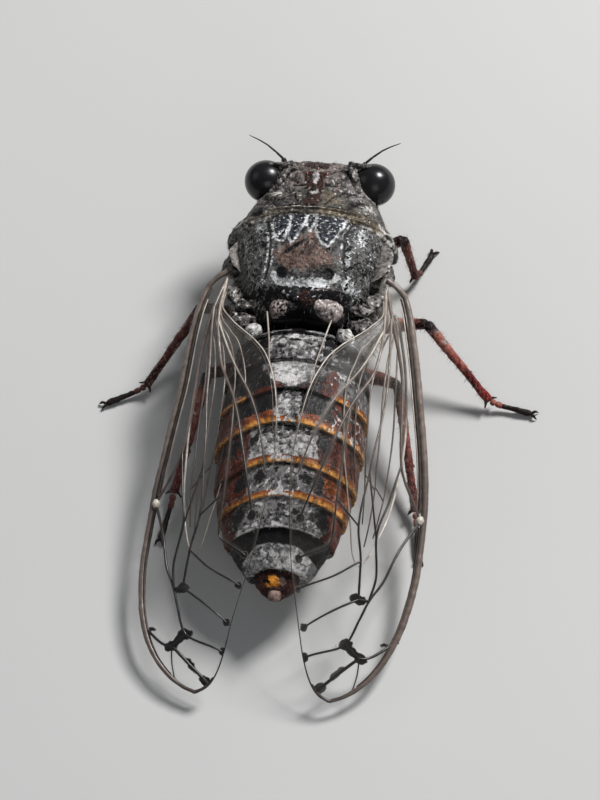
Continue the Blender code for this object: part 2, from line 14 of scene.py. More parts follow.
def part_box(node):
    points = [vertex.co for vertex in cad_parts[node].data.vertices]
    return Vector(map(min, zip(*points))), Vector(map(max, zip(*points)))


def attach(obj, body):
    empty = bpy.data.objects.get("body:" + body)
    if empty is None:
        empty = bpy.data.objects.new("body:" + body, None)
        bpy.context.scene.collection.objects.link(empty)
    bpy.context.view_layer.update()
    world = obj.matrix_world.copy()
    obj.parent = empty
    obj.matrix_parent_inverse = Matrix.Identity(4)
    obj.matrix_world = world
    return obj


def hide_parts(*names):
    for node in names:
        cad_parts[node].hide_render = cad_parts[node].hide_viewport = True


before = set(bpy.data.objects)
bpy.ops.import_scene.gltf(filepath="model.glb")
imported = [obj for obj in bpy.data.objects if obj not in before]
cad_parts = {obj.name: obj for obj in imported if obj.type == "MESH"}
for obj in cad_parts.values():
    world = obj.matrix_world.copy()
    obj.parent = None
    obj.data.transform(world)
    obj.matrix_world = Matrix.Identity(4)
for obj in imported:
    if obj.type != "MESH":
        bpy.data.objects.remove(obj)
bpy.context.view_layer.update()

# Table, light and camera
# A pale table top under three soft lamps, seen from above and behind the insect. The strongest
# lamp stands in front of the head and to its right, so that the left side lies in shade.
MM = 0.001
SHIFT = np.array([sum(corner.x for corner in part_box("pronotum")) / 2 / MM,
                  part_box("abdomen_base")[1].y / MM + 0.1, 0.0])
TABLE_RADIUS, TABLE_SIDES = 1.6, 96


def fill(node, values):
    """A node with a value or a link in each named or numbered socket."""
    for name, value in values.items():
        if isinstance(value, bpy.types.Node):
            value = value.outputs[0]
        if isinstance(value, bpy.types.NodeSocket):
            node.id_data.links.new(value, node.inputs[name])
        else:
            node.inputs[name].default_value = value
    return node


def add(tree, kind, values=(), family="ShaderNode", **settings):
    made = tree.nodes.new(family + kind)
    for name, value in settings.items():
        setattr(made, name, value)
    return fill(made, dict(values))


def blended(tree, share, *colors):
    """A colour between two, by a share from 0 to 1."""
    first, second = (c if isinstance(c, bpy.types.NodeSocket) else (*c, 1) for c in colors)
    return add(tree, "Mix", {0: share, 6: first, 7: second}, data_type="RGBA").outputs[2]


def clouds(tree, scale, detail, **more):
    """Soft noise over the piece, at its own place."""
    place = add(tree, "TexCoord").outputs["Object"]
    return add(tree, "TexNoise", {"Vector": place, "Scale": scale, "Detail": detail, **more}).outputs[0]


def finish_of(name):
    """An empty material: its node tree, its Principled shader and the material."""
    material = bpy.data.materials.new(name)
    material.use_nodes = True
    return material.node_tree, material.node_tree.nodes["Principled BSDF"], material


def two_toned(name, scale, detail, dark, light, fixed):
    """A finish in soft clouds of two tones."""
    tree, shader, material = finish_of(name)
    fill(shader, {"Base Color": blended(tree, clouds(tree, scale, detail), dark, light), **fixed})
    return material


def linked(name, data):
    made = bpy.data.objects.new(name, data)
    bpy.context.collection.objects.link(made)
    return made


mesh = bpy.data.meshes.new("table")
rim = [math.tau * i / TABLE_SIDES for i in range(TABLE_SIDES)]
rim = [(TABLE_RADIUS * math.cos(turn), TABLE_RADIUS * math.sin(turn), 0) for turn in rim]
mesh.from_pydata(rim, [], [tuple(range(TABLE_SIDES))])
mesh.materials.append(two_toned("table_top", 18.0, 6.0, (0.46, 0.46, 0.45), (0.54, 0.535, 0.525),
                                {"Roughness": 0.75}))
table = linked("table", mesh)

sky = bpy.data.worlds.new("room")
sky.use_nodes = True
fill(sky.node_tree.nodes["Background"], {"Color": (0.86, 0.92, 1.0, 1), "Strength": 0.16})
bpy.context.scene.world = sky
for name, spot, size, power in (("lamp_front", (0.17, 0.2, 0.28), 0.1, 2.0),
                                ("lamp_left", (-0.3, 0.04, 0.24), 0.2, 0.08),
                                ("lamp_rear", (0.1, -0.28, 0.26), 0.2, 0.18)):
    lamp = bpy.data.lights.new(name, "AREA")
    lamp.energy, lamp.size = power, size
    holder = linked(name, lamp)
    holder.location = spot
    holder.rotation_euler = Vector(spot).to_track_quat("Z", "Y").to_euler()

DISTANCE, RISE, SWING, ROLL = 0.25, math.radians(60), math.radians(12.722), math.radians(7.541)
FOCUS, FRAME_HEIGHT, OFF_CENTRE = 4160.6, 800, (7.44, 4.03)
back = Vector((math.sin(SWING) * math.cos(RISE), -math.cos(SWING) * math.cos(RISE), math.sin(RISE)))
level = Vector((math.cos(SWING), math.sin(SWING), 0))
upright = back.cross(level)
frame_right = level * math.cos(ROLL) - upright * math.sin(ROLL)
frame_up = level * math.sin(ROLL) + upright * math.cos(ROLL)
lens = bpy.data.cameras.new("camera")
lens.sensor_fit, lens.sensor_height = "VERTICAL", 24
lens.lens = FOCUS * lens.sensor_height / FRAME_HEIGHT
lens.shift_x, lens.shift_y = -OFF_CENTRE[0] / FRAME_HEIGHT, -OFF_CENTRE[1] / FRAME_HEIGHT
lens.clip_start, lens.clip_end = 0.01, 10
camera = linked("camera", lens)
facing = Matrix((frame_right, frame_up, back)).transposed().to_4x4()
camera.matrix_world = Matrix.Translation(Vector(SHIFT) * MM + back * DISTANCE) @ facing
bpy.context.scene.camera = camera
bpy.context.scene.view_settings.view_transform = "Standard"

# Abdomen
# Eight stiff rings of horn, each over the next like the tubes of a telescope, closed by a small
# cup at the tail. Grey wax and short hairs cover them, and the rear edges shine rust red.
NOTHING = -1.0


def smooth(table):
    """A curve through the (place, value) pairs of a table that never overshoots them."""
    x, y = np.array(sorted(table), float).T
    step = np.diff(x)
    slope = np.diff(y) / step
    tangent = np.concatenate(([slope[0]], np.zeros(len(x) - 2), [slope[-1]]))
    for i in range(1, len(x) - 1):
        if slope[i - 1] * slope[i] > 0:
            near = 2 * step[i] + step[i - 1]
            far = step[i] + 2 * step[i - 1]
            tangent[i] = (near + far) / (near / slope[i - 1] + far / slope[i])

    def value(at):
        at = np.clip(at, x[0], x[-1])
        i = np.clip(np.searchsorted(x, at, side="right") - 1, 0, len(step) - 1)
        t = (at - x[i]) / step[i]
        rise = (3 - 2 * t) * t * t
        turn = t * (1 - t) * step[i] * ((1 - t) * tangent[i] - t * tangent[i + 1])
        return y[i] + rise * (y[i + 1] - y[i]) + turn

    return value


def section(y, half, top, low, middle, bow=0.0, upper=2.2, lower=2.2, sides=180):
    """One ring of the trunk: two half superellipses, swept back towards the sides."""
    turn = math.tau * (np.arange(sides) + 0.5) / sides
    across, rise = np.cos(turn), np.sin(turn)
    power = np.where(rise > 0, upper, lower)
    x = half * np.sign(across) * abs(across) ** (2 / power)
    reach = np.where(rise > 0, top - middle, middle - low)
    z = middle + reach * np.sign(rise) * abs(rise) ** (2 / power)
    return np.stack([x, y - bow * (x / half) ** 2, z], axis=1)


def raised(rows, height):
    """A closed grid of rings, moved out along its normals."""
    along = np.gradient(rows, axis=0)
    around = np.roll(rows, -1, axis=1) - np.roll(rows, 1, axis=1)
    normal = np.cross(along, around)
    normal /= np.linalg.norm(normal, axis=2)[..., None] + 1e-12
    spread = rows - rows.mean(axis=1)[:, None]
    return rows + normal * np.sign((normal * spread).sum()) * height[..., None]


def rounded(rows, rim, steps=5, **marks):
    """Rings with a rounded edge and a flat end added at both ends, and the marks on them."""
    ends = []
    for ring, inner in ((rows[0], rows[1]), (rows[-1], rows[-2])):
        middle = ring.mean(axis=0)
        ahead = middle - inner.mean(axis=0)
        ahead /= np.linalg.norm(ahead)
        spread = ring - middle
        reach = np.linalg.norm(spread, axis=1)[:, None]
        cap = []
        for k in range(1, steps + 1):
            turn = math.pi / 2 * k / steps
            pulled = spread * (1 - rim * (1 - math.cos(turn)) / reach)
            cap.append(middle + pulled + ahead * rim * math.sin(turn))
        centre = middle + ahead * rim
        cap += [centre + (cap[-1] - centre) * share for share in (0.8, 0.5, 0.2)]
        ends.append(np.array(cap))
    extra = len(ends[0])
    marks = {kind: np.pad(depth, ((extra, extra), (0, 0)), mode="edge") for kind, depth in marks.items()}
    return np.concatenate([ends[0][::-1], rows, ends[1]]), marks


def rough(points, size, depth, octaves=3, seed=0.0):
    """Smooth noise of a depth at each point, with humps of a size in millimetres."""
    flat = (points.reshape(-1, 3) / size + seed).tolist()
    values = [noise.fractal(p, 0.6, 2.1, octaves) for p in flat]
    return depth * np.array(values).reshape(points.shape[:-1])


def from_line(points, *line):
    """The distance in plan from each point to a line of straight pieces."""
    best = np.full(points.shape[:-1], 1e9)
    flat = points[..., :2]
    for a, b in zip(line, line[1:]):
        a, b = np.array(a, float), np.array(b, float)
        run = b - a
        t = np.clip(((flat - a) @ run) / (run @ run), 0, 1)
        best = np.minimum(best, np.linalg.norm(flat - a - t[..., None] * run, axis=-1))
    return best


# A mark is a field over the skin: how far inside the mark's edge a point lies, in millimetres.
def patch(points, x, y, wide, long, turn=0.0):
    """An oval mark in plan."""
    c, s = math.cos(math.radians(turn)), math.sin(math.radians(turn))
    dx, dy = points[..., 0] - x, points[..., 1] - y
    across, along = (c * dx + s * dy) / wide, (c * dy - s * dx) / long
    return (1 - np.sqrt(across ** 2 + along ** 2)) * min(wide, long)


def most(*fields):
    return np.maximum.reduce(np.broadcast_arrays(*fields))


def least(*fields):
    return np.minimum.reduce(np.broadcast_arrays(*fields))


def on(place, mark, elsewhere=NOTHING):
    """A mark that is kept to one place."""
    return np.where(place, mark, elsewhere)


def unit(value):
    return np.clip(value, 0, 1)


def bell(distance, width):
    """The profile of a ridge or a groove."""
    return np.exp(-(distance / width) ** 2)


def placed(made, slot, solids=()):
    """Ties a finished piece to the frame."""
    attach(made, "root")
    if solids:
        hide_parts(*solids)
    return made


def skin(name, grids, material, slot, solids=(), marks=None):
    """Closed grids of rings as one piece. A mark has a field or a number for each grid."""
    if isinstance(grids, np.ndarray):
        grids = [grids]
        marks = {kind: [depth] for kind, depth in (marks or {}).items()}
    points, faces, start = [], [], 0
    for rows in grids:
        count, sides = rows.shape[:2]
        ring = np.arange(sides)
        after = (ring + 1) % sides
        first, last, end = start + count * sides, start + count * sides + 1, start + (count - 1) * sides
        own = [(b, a, a + sides, b + sides) for r in range(start, end, sides)
               for a, b in zip((ring + r).tolist(), (after + r).tolist())]
        for a, b in zip(ring.tolist(), after.tolist()):
            own += [(start + a, start + b, first), (end + b, end + a, last)]
        middle = rows[count // 2]
        out = middle[0] - middle.mean(axis=0)
        turned_in = np.cross(middle[0] - middle[1], rows[count // 2 + 1, 0] - middle[1]) @ out < 0
        faces += [face[::-1] for face in own] if turned_in else own
        points += [rows.reshape(-1, 3), rows[0].mean(axis=0)[None], rows[-1].mean(axis=0)[None]]
        start = last + 1
    mesh = bpy.data.meshes.new(name)
    mesh.from_pydata(((np.concatenate(points) + SHIFT) * MM).tolist(), [], faces)
    for kind, depths in (marks or {}).items():
        depths = [np.broadcast_to(depth, rows.shape[:2]) for depth, rows in zip(depths, grids)]
        values = np.concatenate([np.append(f.ravel(), [f[0].mean(), f[-1].mean()]) for f in depths])
        mark = mesh.attributes.new(kind, "FLOAT", "POINT")
        mark.data.foreach_set("value", np.ascontiguousarray(values, np.float32))
    mesh.materials.append(material)
    mesh.shade_smooth()
    return placed(linked(name, mesh), slot, solids)


def maths(tree, operation, *values):
    return add(tree, "Math", enumerate(values), operation=operation).outputs[0]


def ranged(tree, value, *limits, soft=False):
    """A value taken from one range to another, from 0 to 1 where no second range is given."""
    kind = "SMOOTHSTEP" if soft else "LINEAR"
    return add(tree, "MapRange", enumerate((value, *limits)), interpolation_type=kind).outputs[0]


def relief(tree, height, depth, strength=1.0):
    return add(tree, "Bump", {"Height": height, "Distance": depth, "Strength": strength})


def horn_group():
    """Horn with wax and hair: a ground colour, four kinds of mark with ragged edges, and a height."""
    group = bpy.data.node_groups.new("waxed_horn", "ShaderNodeTree")
    brown = (0.4, 0.1, 0.02, 1)
    for name, kind, value in (
            ("Ground", "Color", (0.1, 0.09, 0.08, 1)), ("Mottle", "Color", (0.25, 0.23, 0.21, 1)),
            ("Warm", "Color", brown), ("Warm Core", "Color", brown), ("Deep", "Color", (0.04, 0.01, 0.01, 1)),
            ("Pale", "Color", (0.6, 0.58, 0.55, 1)), ("Black", "Color", (0.006, 0.005, 0.006, 1)),
            ("Warm Mark", "Float", NOTHING), ("Deep Mark", "Float", NOTHING), ("Pale Mark", "Float", NOTHING),
            ("Black Mark", "Float", NOTHING), ("Hair", "Float", 0.5), ("Ragged", "Float", 0.25),
            ("Grain", "Float", 1.0)):
        socket = group.interface.new_socket(name, in_out="INPUT", socket_type="NodeSocket" + kind)
        socket.default_value = value
    for name, kind in (("Color", "Color"), ("Roughness", "Float"), ("Height", "Float")):
        group.interface.new_socket(name, in_out="OUTPUT", socket_type="NodeSocket" + kind)
    given = group.nodes.new("NodeGroupInput").outputs
    place = add(group, "TexCoord").outputs["Object"]
    grain = add(group, "VectorMath", {0: place, "Scale": given["Grain"]}, operation="SCALE").outputs[0]
    combed = add(group, "VectorMath", {0: grain, 1: (1.0, 0.22, 0.8)}, operation="MULTIPLY").outputs[0]
    broad, speck, streak = (
        add(group, "TexNoise", {"Vector": where, "Scale": scale, "Detail": detail, "Roughness": fine,
                                "Distortion": bent}).outputs[0] for where, scale, detail, fine, bent in (
            (grain, 900.0, 4.0, 0.6, 0.0), (grain, 4200.0, 4.0, 0.65, 0.0), (combed, 15000.0, 2.0, 0.5, 0.6)))
    pores = add(group, "TexVoronoi", {"Vector": grain, "Scale": 9000.0}).outputs[0]
    tone = ranged(group, maths(group, "ADD", broad, speck), 0.84, 1.16, soft=True)
    color = blended(group, tone, given["Ground"], given["Mottle"])
    ragged = maths(group, "MULTIPLY", maths(group, "ADD", speck, -0.5), given["Ragged"])
    masks = {}
    for kind in ("Warm", "Deep", "Pale", "Black"):
        edge = maths(group, "ADD", given[kind + " Mark"], ragged)
        masks[kind] = ranged(group, edge, -0.05, 0.05, soft=True)
        shade = given[kind]
        if kind == "Warm":
            # Inside a warm mark the colour runs to its core colour. On the abdomen's rust bands that brighter
            # core is partly their own orange and partly a painted highlight.
            shade = blended(group, ranged(group, edge, 0.06, 0.4, soft=True), shade, given["Warm Core"])
        if kind != "Black":
            dim = ranged(group, tone, 0.0, 1.0, 0.3, 1.2)
            shade = add(group, "VectorMath", {0: shade, "Scale": dim}, operation="SCALE").outputs[0]
        color = blended(group, masks[kind], color, shade)
    hair = ranged(group, streak, 0.56, 0.72)
    bare = maths(group, "MULTIPLY_ADD", masks["Black"], -0.85, 1.0)
    cover = maths(group, "MULTIPLY", maths(group, "MULTIPLY", hair, given["Hair"]), bare)
    gloss = maths(group, "MULTIPLY_ADD", masks["Pale"], 0.2, ranged(group, speck, 0.3, 0.7, 0.28, 0.6))
    fill(group.nodes.new("NodeGroupOutput"), {
        "Color": blended(group, cover, color, (0.40, 0.385, 0.36)),
        "Roughness": maths(group, "MULTIPLY_ADD", masks["Warm"], -0.14, gloss),
        "Height": maths(group, "MULTIPLY_ADD", pores, 0.5, maths(group, "MULTIPLY_ADD", speck, 0.9, hair))})
    return group


waxed_horn = horn_group()
# The black of the black marks. Some of those marks are painted shade, each noted where it is made.
BLACK_AND_SHADE = (0.006, 0.005, 0.006)


def horn(name, **values):
    """Waxed horn in one piece's colours. It reads the piece's own mark for each colour that is given."""
    tree, shader, material = finish_of(name)
    coat = tree.nodes.new("ShaderNodeGroup")
    coat.node_tree = waxed_horn
    for kind in ("warm", "deep", "pale", "black"):
        if kind in values:
            mark = add(tree, "Attribute", attribute_name=kind).outputs["Fac"]
            fill(coat, {kind.title() + " Mark": mark})
    if "warm" in values:
        values.setdefault("warm_core", values["warm"])
    fill(coat, {label.replace("_", " ").title(): (*value, 1) if isinstance(value, tuple) else value
                for label, value in values.items()})
    fill(shader, {"Base Color": coat.outputs["Color"], "Roughness": coat.outputs["Roughness"],
                  "Normal": relief(tree, coat.outputs["Height"], 0.00003), "Specular IOR Level": 0.16})
    return material


RING_EDGES = (0.55, -0.12, -2.16, -4.14, -6.35, -8.65, -10.5, -12.1, -14.15)
belly_half = smooth([(0.55, 3.0), (0.2, 3.6), (-1.0, 4.05), (-3.0, 4.25), (-5.0, 4.3), (-8.0, 4.1),
                     (-10.0, 3.75), (-12.0, 3.1), (-13.2, 2.45), (-14.1, 1.75), (-14.6, 1.4), (-15.45, 0.9)])
belly_top = smooth([(0.55, 7.2), (-0.1, 7.75), (-2.0, 8.15), (-4.0, 8.25), (-6.0, 8.1), (-8.0, 7.65),
                    (-10.0, 6.95), (-12.0, 6.0), (-13.2, 5.3), (-14.1, 4.7), (-14.7, 4.25), (-15.45, 3.55)])
belly_bow = smooth([(0.55, 0.3), (-2.0, 0.75), (-4.0, 1.15), (-8.0, 1.15), (-10.0, 1.0), (-12.1, 0.7),
                    (-14.15, 0.2)])
belly_low = smooth([(0.2, 2.4), (-1.0, 1.95), (-5.0, 1.8), (-9.0, 1.95), (-12.0, 2.2), (-14.1, 2.55),
                    (-15.45, 2.75)])
RING_STEP, WAIST, FOLD_LINE = 0.085, 0.45, 0.36

stations = []
for number, (front, rear) in enumerate(zip(RING_EDGES, RING_EDGES[1:]), 1):
    for t in np.linspace(0, 1, max(8, round((front - rear) / RING_STEP))):
        stations.append((front + 0.06 + (rear + 0.03 - front - 0.06) * t, -0.13 + 0.25 * t ** 0.8, number))
    for inward, lip in ((0, 0.1), (-0.015, 0.06), (0.01, 0.0), (0.05, -0.06), (0.07, -0.12)):
        stations.append((rear + inward, lip, number))
rows = []
for y, lip, number in stations:
    low, top = belly_low(y), belly_top(y)
    middle = low + WAIST * (top - low)
    rows.append(section(y, belly_half(y) + lip, top + lip, low - 0.5 * lip, middle, sides=300))
rows = np.array(rows)
number = np.repeat([station[2] for station in stations], rows.shape[1]).reshape(rows.shape[:2])
ring = [number == n for n in range(9)]
x, y, z = np.moveaxis(rows, 2, 0)
behind = y - np.array(RING_EDGES)[number]
fold_line = belly_low(y) + FOLD_LINE * (belly_top(y) - belly_low(y))
wide = abs(x)
fold = bell(z - fold_line, 0.16) * (wide > 1)
speckle = rough(rows, 0.3, 0.5, 4, 4.0)
right = x > 0
banded = (number >= 4) & (number <= 6)
width = np.select([ring[4], ring[5], ring[6]], [0.36, 0.42, 0.34], 0.3) + 0.1 * speckle
width = width + 0.15 * unit((x - 0.5) / 2)
width = on(ring[4] & (wide > 0.8) & (wide < 2.5), 0.85 + 0.3 * speckle, width)
rust = on(banded, least(width - behind, most(0.5 - behind, 0.04)))
rust = on(ring[3] & (wide > 2.6), 0.34 - behind + 0.1 * right, rust)
rust = on(ring[5] & (x < -2.1), NOTHING, rust)
blush = least(x - 2.4, behind - 0.85, z - fold_line - 0.5) + 0.6 * speckle
rust = most(rust, on(ring[6] & right, least(blush, 0.1)))
deep = np.select(
    [ring[3], ring[4] & right, ring[4], ring[5] & right, ring[5], ring[6], ring[7]],
    [most(least(wide - 1.1 - 0.9 * (behind - 0.5), 2.7 - wide), speckle - 0.2),
     x - 0.8 - 0.5 * np.clip(x - 2.4, 0, 9), -x - 0.8, x - 1.9, -x - 2.1, most(-x - 2.0, x - 1.9),
     wide - 2.6 + speckle], NOTHING)
deep = on(rust > -0.04, NOTHING, deep)
pale = np.select(
    [number <= 2, ring[3], ring[4], ring[5], ring[6], ring[7]],
    [least(speckle - 0.06, 1.7 - wide), least(1.3 - wide, behind * 1.25 + 0.12 - wide),
     least(speckle - 0.02, 0.85 - wide), least(speckle + 0.04 + 0.2 * (behind < 0.75), 2.0 - wide),
     least(speckle - 0.16, 1.9 - wide), least(speckle - 0.16 + 0.4 * (behind < 0.12), 2.4 - wide)],
    least(0.16 + speckle - 0.5 * unit(patch(rows, -0.2, -13.0, 1.0, 0.5)), 2.1 - wide - 0.3 * (1.2 - behind)))
pale = on(banded & (behind < width), least(0.75 - wide, speckle - 0.02), pale)
dusted = most(patch(rows, 3.0, -2.0, 0.6, 0.9, 15), patch(rows, 3.6, -1.4, 0.4, 0.7)) - 0.04 + speckle
pale = most(pale, on(ring[3] & (x > 1.5), dusted), on(ring[4] & (x > 2.4), speckle - 0.15),
            on((number <= 3) & (wide > 1.9), speckle - 0.22))
# Black over the front of the last ring, where it runs in under the lip of the ring before. It reaches further
# back towards the sides, most on the shaded left side, and that widening is painted shade.
front_black_and_shade = behind - 1.25 + on(wide < 1.2, 0, on(right, 0.5, 0.85) * (wide - 1.2))
# Ring 1 is black over its middle, all but its last 0.3 mm: painted shade, for the deep shadow in the gap
# behind the rear of the chest.
black = np.select(
    [ring[1], ring[2], ring[3], ring[4], ring[8]],
    [2.4 - wide - 2.0 * (behind < 0.3), on(wide > 1.6, 0.12 + 0.7 * speckle),
     on(right, least(wide - 1.25 - 0.5 * (behind - 0.6), 1.9 - wide) - 0.1 + speckle,
        least(wide - 1.15 - 0.5 * (behind - 0.6), behind - 0.3) + 0.5 * speckle),
     on(right, least(x - 0.85, 2.5 - x, behind - 0.8) + 0.08 + 0.5 * speckle,
        least(-x - 0.8, 3.2 + x, behind - 0.95) + 0.12 + 0.4 * speckle), front_black_and_shade], NOTHING)
black = most(black, on((number <= 6) & (behind < 0.0), 0.2),
             on((number >= 4) & (number <= 7) & (behind > 1.75), 0.02 + speckle))
# Ring, place, half width, half length and turn of each black spot
for spot in ((6, -1.3, -9.3, 0.36, 0.36), (6, -2.35, -9.3, 0.42, 0.5), (6, 1.35, -9.35, 0.36, 0.4),
             (6, 2.15, -9.45, 0.3, 0.62), (6, -0.35, -9.0, 0.14, 0.22), (7, -1.5, -11.2, 0.22, 0.18),
             (7, 0.95, -11.2, 0.26, 0.18), (7, 2.5, -11.2, 0.4, 0.6, 20), (7, -2.4, -11.2, 0.35, 0.6, -20),
             (2, -0.1, -0.75, 0.35, 0.12), (2, 0.75, -0.9, 0.22, 0.1), (2, -0.9, -1.2, 0.2, 0.14),
             (4, 3.3, -5.0, 0.5, 0.2, -20), (5, -3.0, -7.0, 0.6, 0.5), (5, 2.3, -7.1, 0.5, 0.5),
             (5, -1.8, -7.2, 0.25, 0.3), (5, 0.9, -6.6, 0.2, 0.12)):
    black = most(black, on(ring[spot[0]], patch(rows, *spot[1:]) - 0.02 + 0.4 * speckle))
under = unit((fold_line - z) / 0.3)
fur = on(under > 0, 0.6, on(most(rust, black) > -0.05, 0.12, 1.0)) * np.clip(1.2 - abs(behind - 0.9), 0.1, 1)
rows = raised(rows, rough(rows, 0.55, 0.035, 4) - 0.11 * fold - 0.035 * unit(black * 6))
aside = abs(x / belly_half(y))
swept = aside ** on(ring[3], 1.4, 1.9) * (1.5 - 0.62 * aside ** 2)
rows[..., 1] -= belly_bow(y) * on(right, 0.55, 1.0) * swept
shell, marks = rounded(rows, 0.08, fur=fur, warm=rust, deep=on(under > 0.5, NOTHING, deep),
                       pale=pale * (1 - under) - under, black=black * (1 - under) - under)
# The rust bands run from a dark rust edge to a brighter core, which is partly their own orange and partly a
# painted highlight.
ring_horn = horn("ring_horn", ground=(0.02, 0.018, 0.018), mottle=(0.2, 0.193, 0.192), black=BLACK_AND_SHADE,
                 warm=(0.2, 0.043, 0.008), warm_core=(0.56, 0.25, 0.055), deep=(0.088, 0.014, 0.005),
                 pale=(0.46, 0.445, 0.435), hair=0.12, ragged=0.3)
belly_skin = skin("abdomen_rings", shell, ring_horn, "banded_cuticle",
                  ("abdomen_base", "abdomen_middle", "abdomen_rear", "abdomen_end"), marks)

# Back of the chest
# One stiff dome over the flight muscles. It carries dark wedge marks with white rims at the front,
# two black dots, and at the rear a raised cross whose hind arms stand over a hollow; the hollow is
# painted black as shade.


def inside(points, outline):
    """Distance in plan to a polygon's outline, above zero inside it."""
    distance = from_line(points, *outline, outline[0])
    x, y = points[..., 0], points[..., 1]
    crossed = np.zeros(x.shape, bool)
    for (ax, ay), (bx, by) in zip(outline, outline[1:] + outline[:1]):
        if ay != by:
            crossed ^= ((ay > y) != (by > y)) & (x < (bx - ax) * (y - ay) / (by - ay) + ax)
    return np.where(crossed, distance, -distance)


bow_at = smooth([(0.3, 0.0), (3.0, 0.3), (7.35, 0.85), (9.0, 0.5), (9.85, 0.4)])
back_half = smooth([(1.0, 2.4), (2.0, 3.05), (3.2, 3.55), (4.5, 3.95), (6.0, 4.3), (6.9, 4.4), (7.7, 4.3)])
back_top = smooth([(1.0, 7.35), (1.6, 8.0), (2.4, 8.75), (3.2, 9.1), (4.6, 9.35), (6.0, 9.25), (6.9, 8.97),
                   (7.35, 8.78), (7.7, 8.6)])
WEDGES = (
    ((-2.15, 7.1), (-1.25, 7.3), (-1.18, 6.4), (-1.4, 5.2), (-1.8, 5.3), (-2.1, 6.3)),
    ((-1.0, 7.35), (-0.3, 7.6), (-0.22, 6.9), (-0.5, 5.9), (-0.85, 5.0), (-1.08, 5.6), (-1.08, 6.6)),
    ((-0.12, 7.6), (0.33, 7.55), (0.3, 6.6), (0.08, 5.9), (-0.1, 6.4)),
    ((0.5, 7.5), (1.2, 7.45), (2.05, 7.15), (1.98, 6.6), (1.72, 5.8), (1.28, 4.95), (0.8, 5.3), (0.44, 6.2)))
SEAMS = (((-2.6, 6.9), (-2.2, 5.6), (-2.1, 3.8), (-2.3, 2.9)),
         ((2.5, 6.9), (2.2, 5.8), (2.25, 4.3), (2.5, 3.2)))
CROSS = (0.05, 1.75)
CROSS_ARMS = ((CROSS, (-1.0, 2.25), (-2.1, 2.9)), (CROSS, (1.0, 2.25), (2.1, 2.9)),
              (CROSS, (-0.95, 1.25), (-1.7, 0.95)), (CROSS, (1.0, 1.25), (1.85, 0.85)))
rows = np.array([section(y, back_half(y), back_top(y), 6.5, 6.9, bow_at(y), lower=5, sides=440)
                 for y in np.linspace(1.0, 7.7, 170)])
x, y, z = np.moveaxis(rows, 2, 0)
wide = abs(x)
above = z > 7.0
speckle = rough(rows, 0.22, 0.5, 3, 7.0)
fine = rough(rows, 0.16, 0.5, 3, 11.0)
wedges = most(*[inside(rows, wedge) for wedge in WEDGES])
wedge_rims = on(y < 7.5, 0.05 - abs(wedges + 0.04) + 0.12 * rough(rows, 0.25, 0.5, 3, 1.0))
seams = least(*[from_line(rows, *seam) for seam in SEAMS])
arms = least(*[from_line(rows, *arm) for arm in CROSS_ARMS])
dots = most(patch(rows, -1.28, 3.15, 0.28, 0.3), patch(rows, 1.48, 3.22, 0.31, 0.32))
crescents = most(0.2 - from_line(rows, (-1.75, 3.05), (-1.45, 2.68), (-1.0, 2.55)),
                 0.2 - from_line(rows, (1.05, 2.62), (1.55, 2.7), (1.98, 3.15)),
                 0.08 - from_line(rows, (-0.9, 2.1), (0.0, 2.02), (1.1, 2.05)))
band = least(0.36 - abs(y - 2.52 - 0.04 * x), 1.15 - wide)
warm = most(patch(rows, -0.1, 4.25, 1.95, 1.0), patch(rows, 0.35, 5.2, 0.4, 0.9),
            patch(rows, -0.85, 4.9, 0.9, 0.3, 38), 0.3 - from_line(rows, CROSS, (0.05, 1.2)))
warm = warm - 0.05 + 0.6 * rough(rows, 0.5, 0.5, 3, 6.0)
worn = [patch(rows, *spot) - less + speckle for less, *spot in (
    (0.2, -2.9, 6.2, 0.5, 0.7), (0.15, 3.1, 6.0, 0.5, 0.9), (0.1, 2.8, 2.7, 0.6, 0.45),
    (0.25, -2.6, 2.4, 0.4, 0.6), (0.2, 2.6, 4.2, 0.3, 0.9))]
# On the flanks the pale speckle is cut back on the left (x below 0): painted shade, as the left side lies
# away from the light.
pale = most(wedge_rims, crescents, on(abs(speckle) > 0.06, band, band - 0.25), on(wedges > -0.1, fine - 0.17),
            0.4 * fine - abs(seams - 0.14), on(wide > 2.2, fine - 0.25 - 0.12 * (x < 0)), fine - 0.46, *worn)
# The rear of the dome, under and around the cross (y below about 2.4), is painted black as shade: the cross's
# hind arms overhang it.
black = most(dots + 0.04, on(wedges > 0, -0.06 + speckle * 0.6), 0.05 - seams, on(warm > 0, speckle - 0.3),
             1.3 - wide - 4.5 * most(y - 1.62, 0) - 9 * (y > 2.0), on(y < 2.4, 0.1 + speckle),
             0.07 - from_line(rows, (-0.7, 2.28), (0.0, 2.2), (0.9, 2.2)), 0.3 - abs(z - 7.0),
             patch(rows, -0.7, 4.75, 0.85, 0.14, 38), patch(rows, 1.4, 4.75, 0.35, 0.12),
             on(wide > 2.3, -0.2 + speckle * 1.4))
fur = on(above, np.clip((wide - 1.9) / 1.5, 0.06, 1), 0.3) * on(pale > 0, 0.5, 1) * (dots < -0.35)
lift = 0.07 * unit(wedges / 0.12 + 0.4) - 0.07 * bell(seams, 0.1)
lift += 0.42 * bell(arms, 0.42) * unit((2.6 - y) / 0.6) - 0.05 * unit(dots * 8)
lift += 0.05 * bell(wide - 3.0, 0.35) * (y > 3.2) + rough(rows, 0.6, 0.05, 4) + 0.05 * speckle
shell, marks = rounded(raised(rows, lift), 0.1, warm=on(above, warm), deep=on(above, wedges), fur=fur,
                       pale=on(above, pale), black=on(above, black, 0.2))
back_horn = horn("back_horn", ground=(0.017, 0.016, 0.016), mottle=(0.13, 0.127, 0.122), black=BLACK_AND_SHADE,
                 warm=(0.14, 0.092, 0.076), deep=(0.03, 0.035, 0.046), pale=(0.6, 0.61, 0.61), hair=0.2,
                 ragged=0.25, grain=1.1)
dome_skin = skin("back_dome", shell, back_horn, "grey_cuticle", ("mesonotum",), marks)


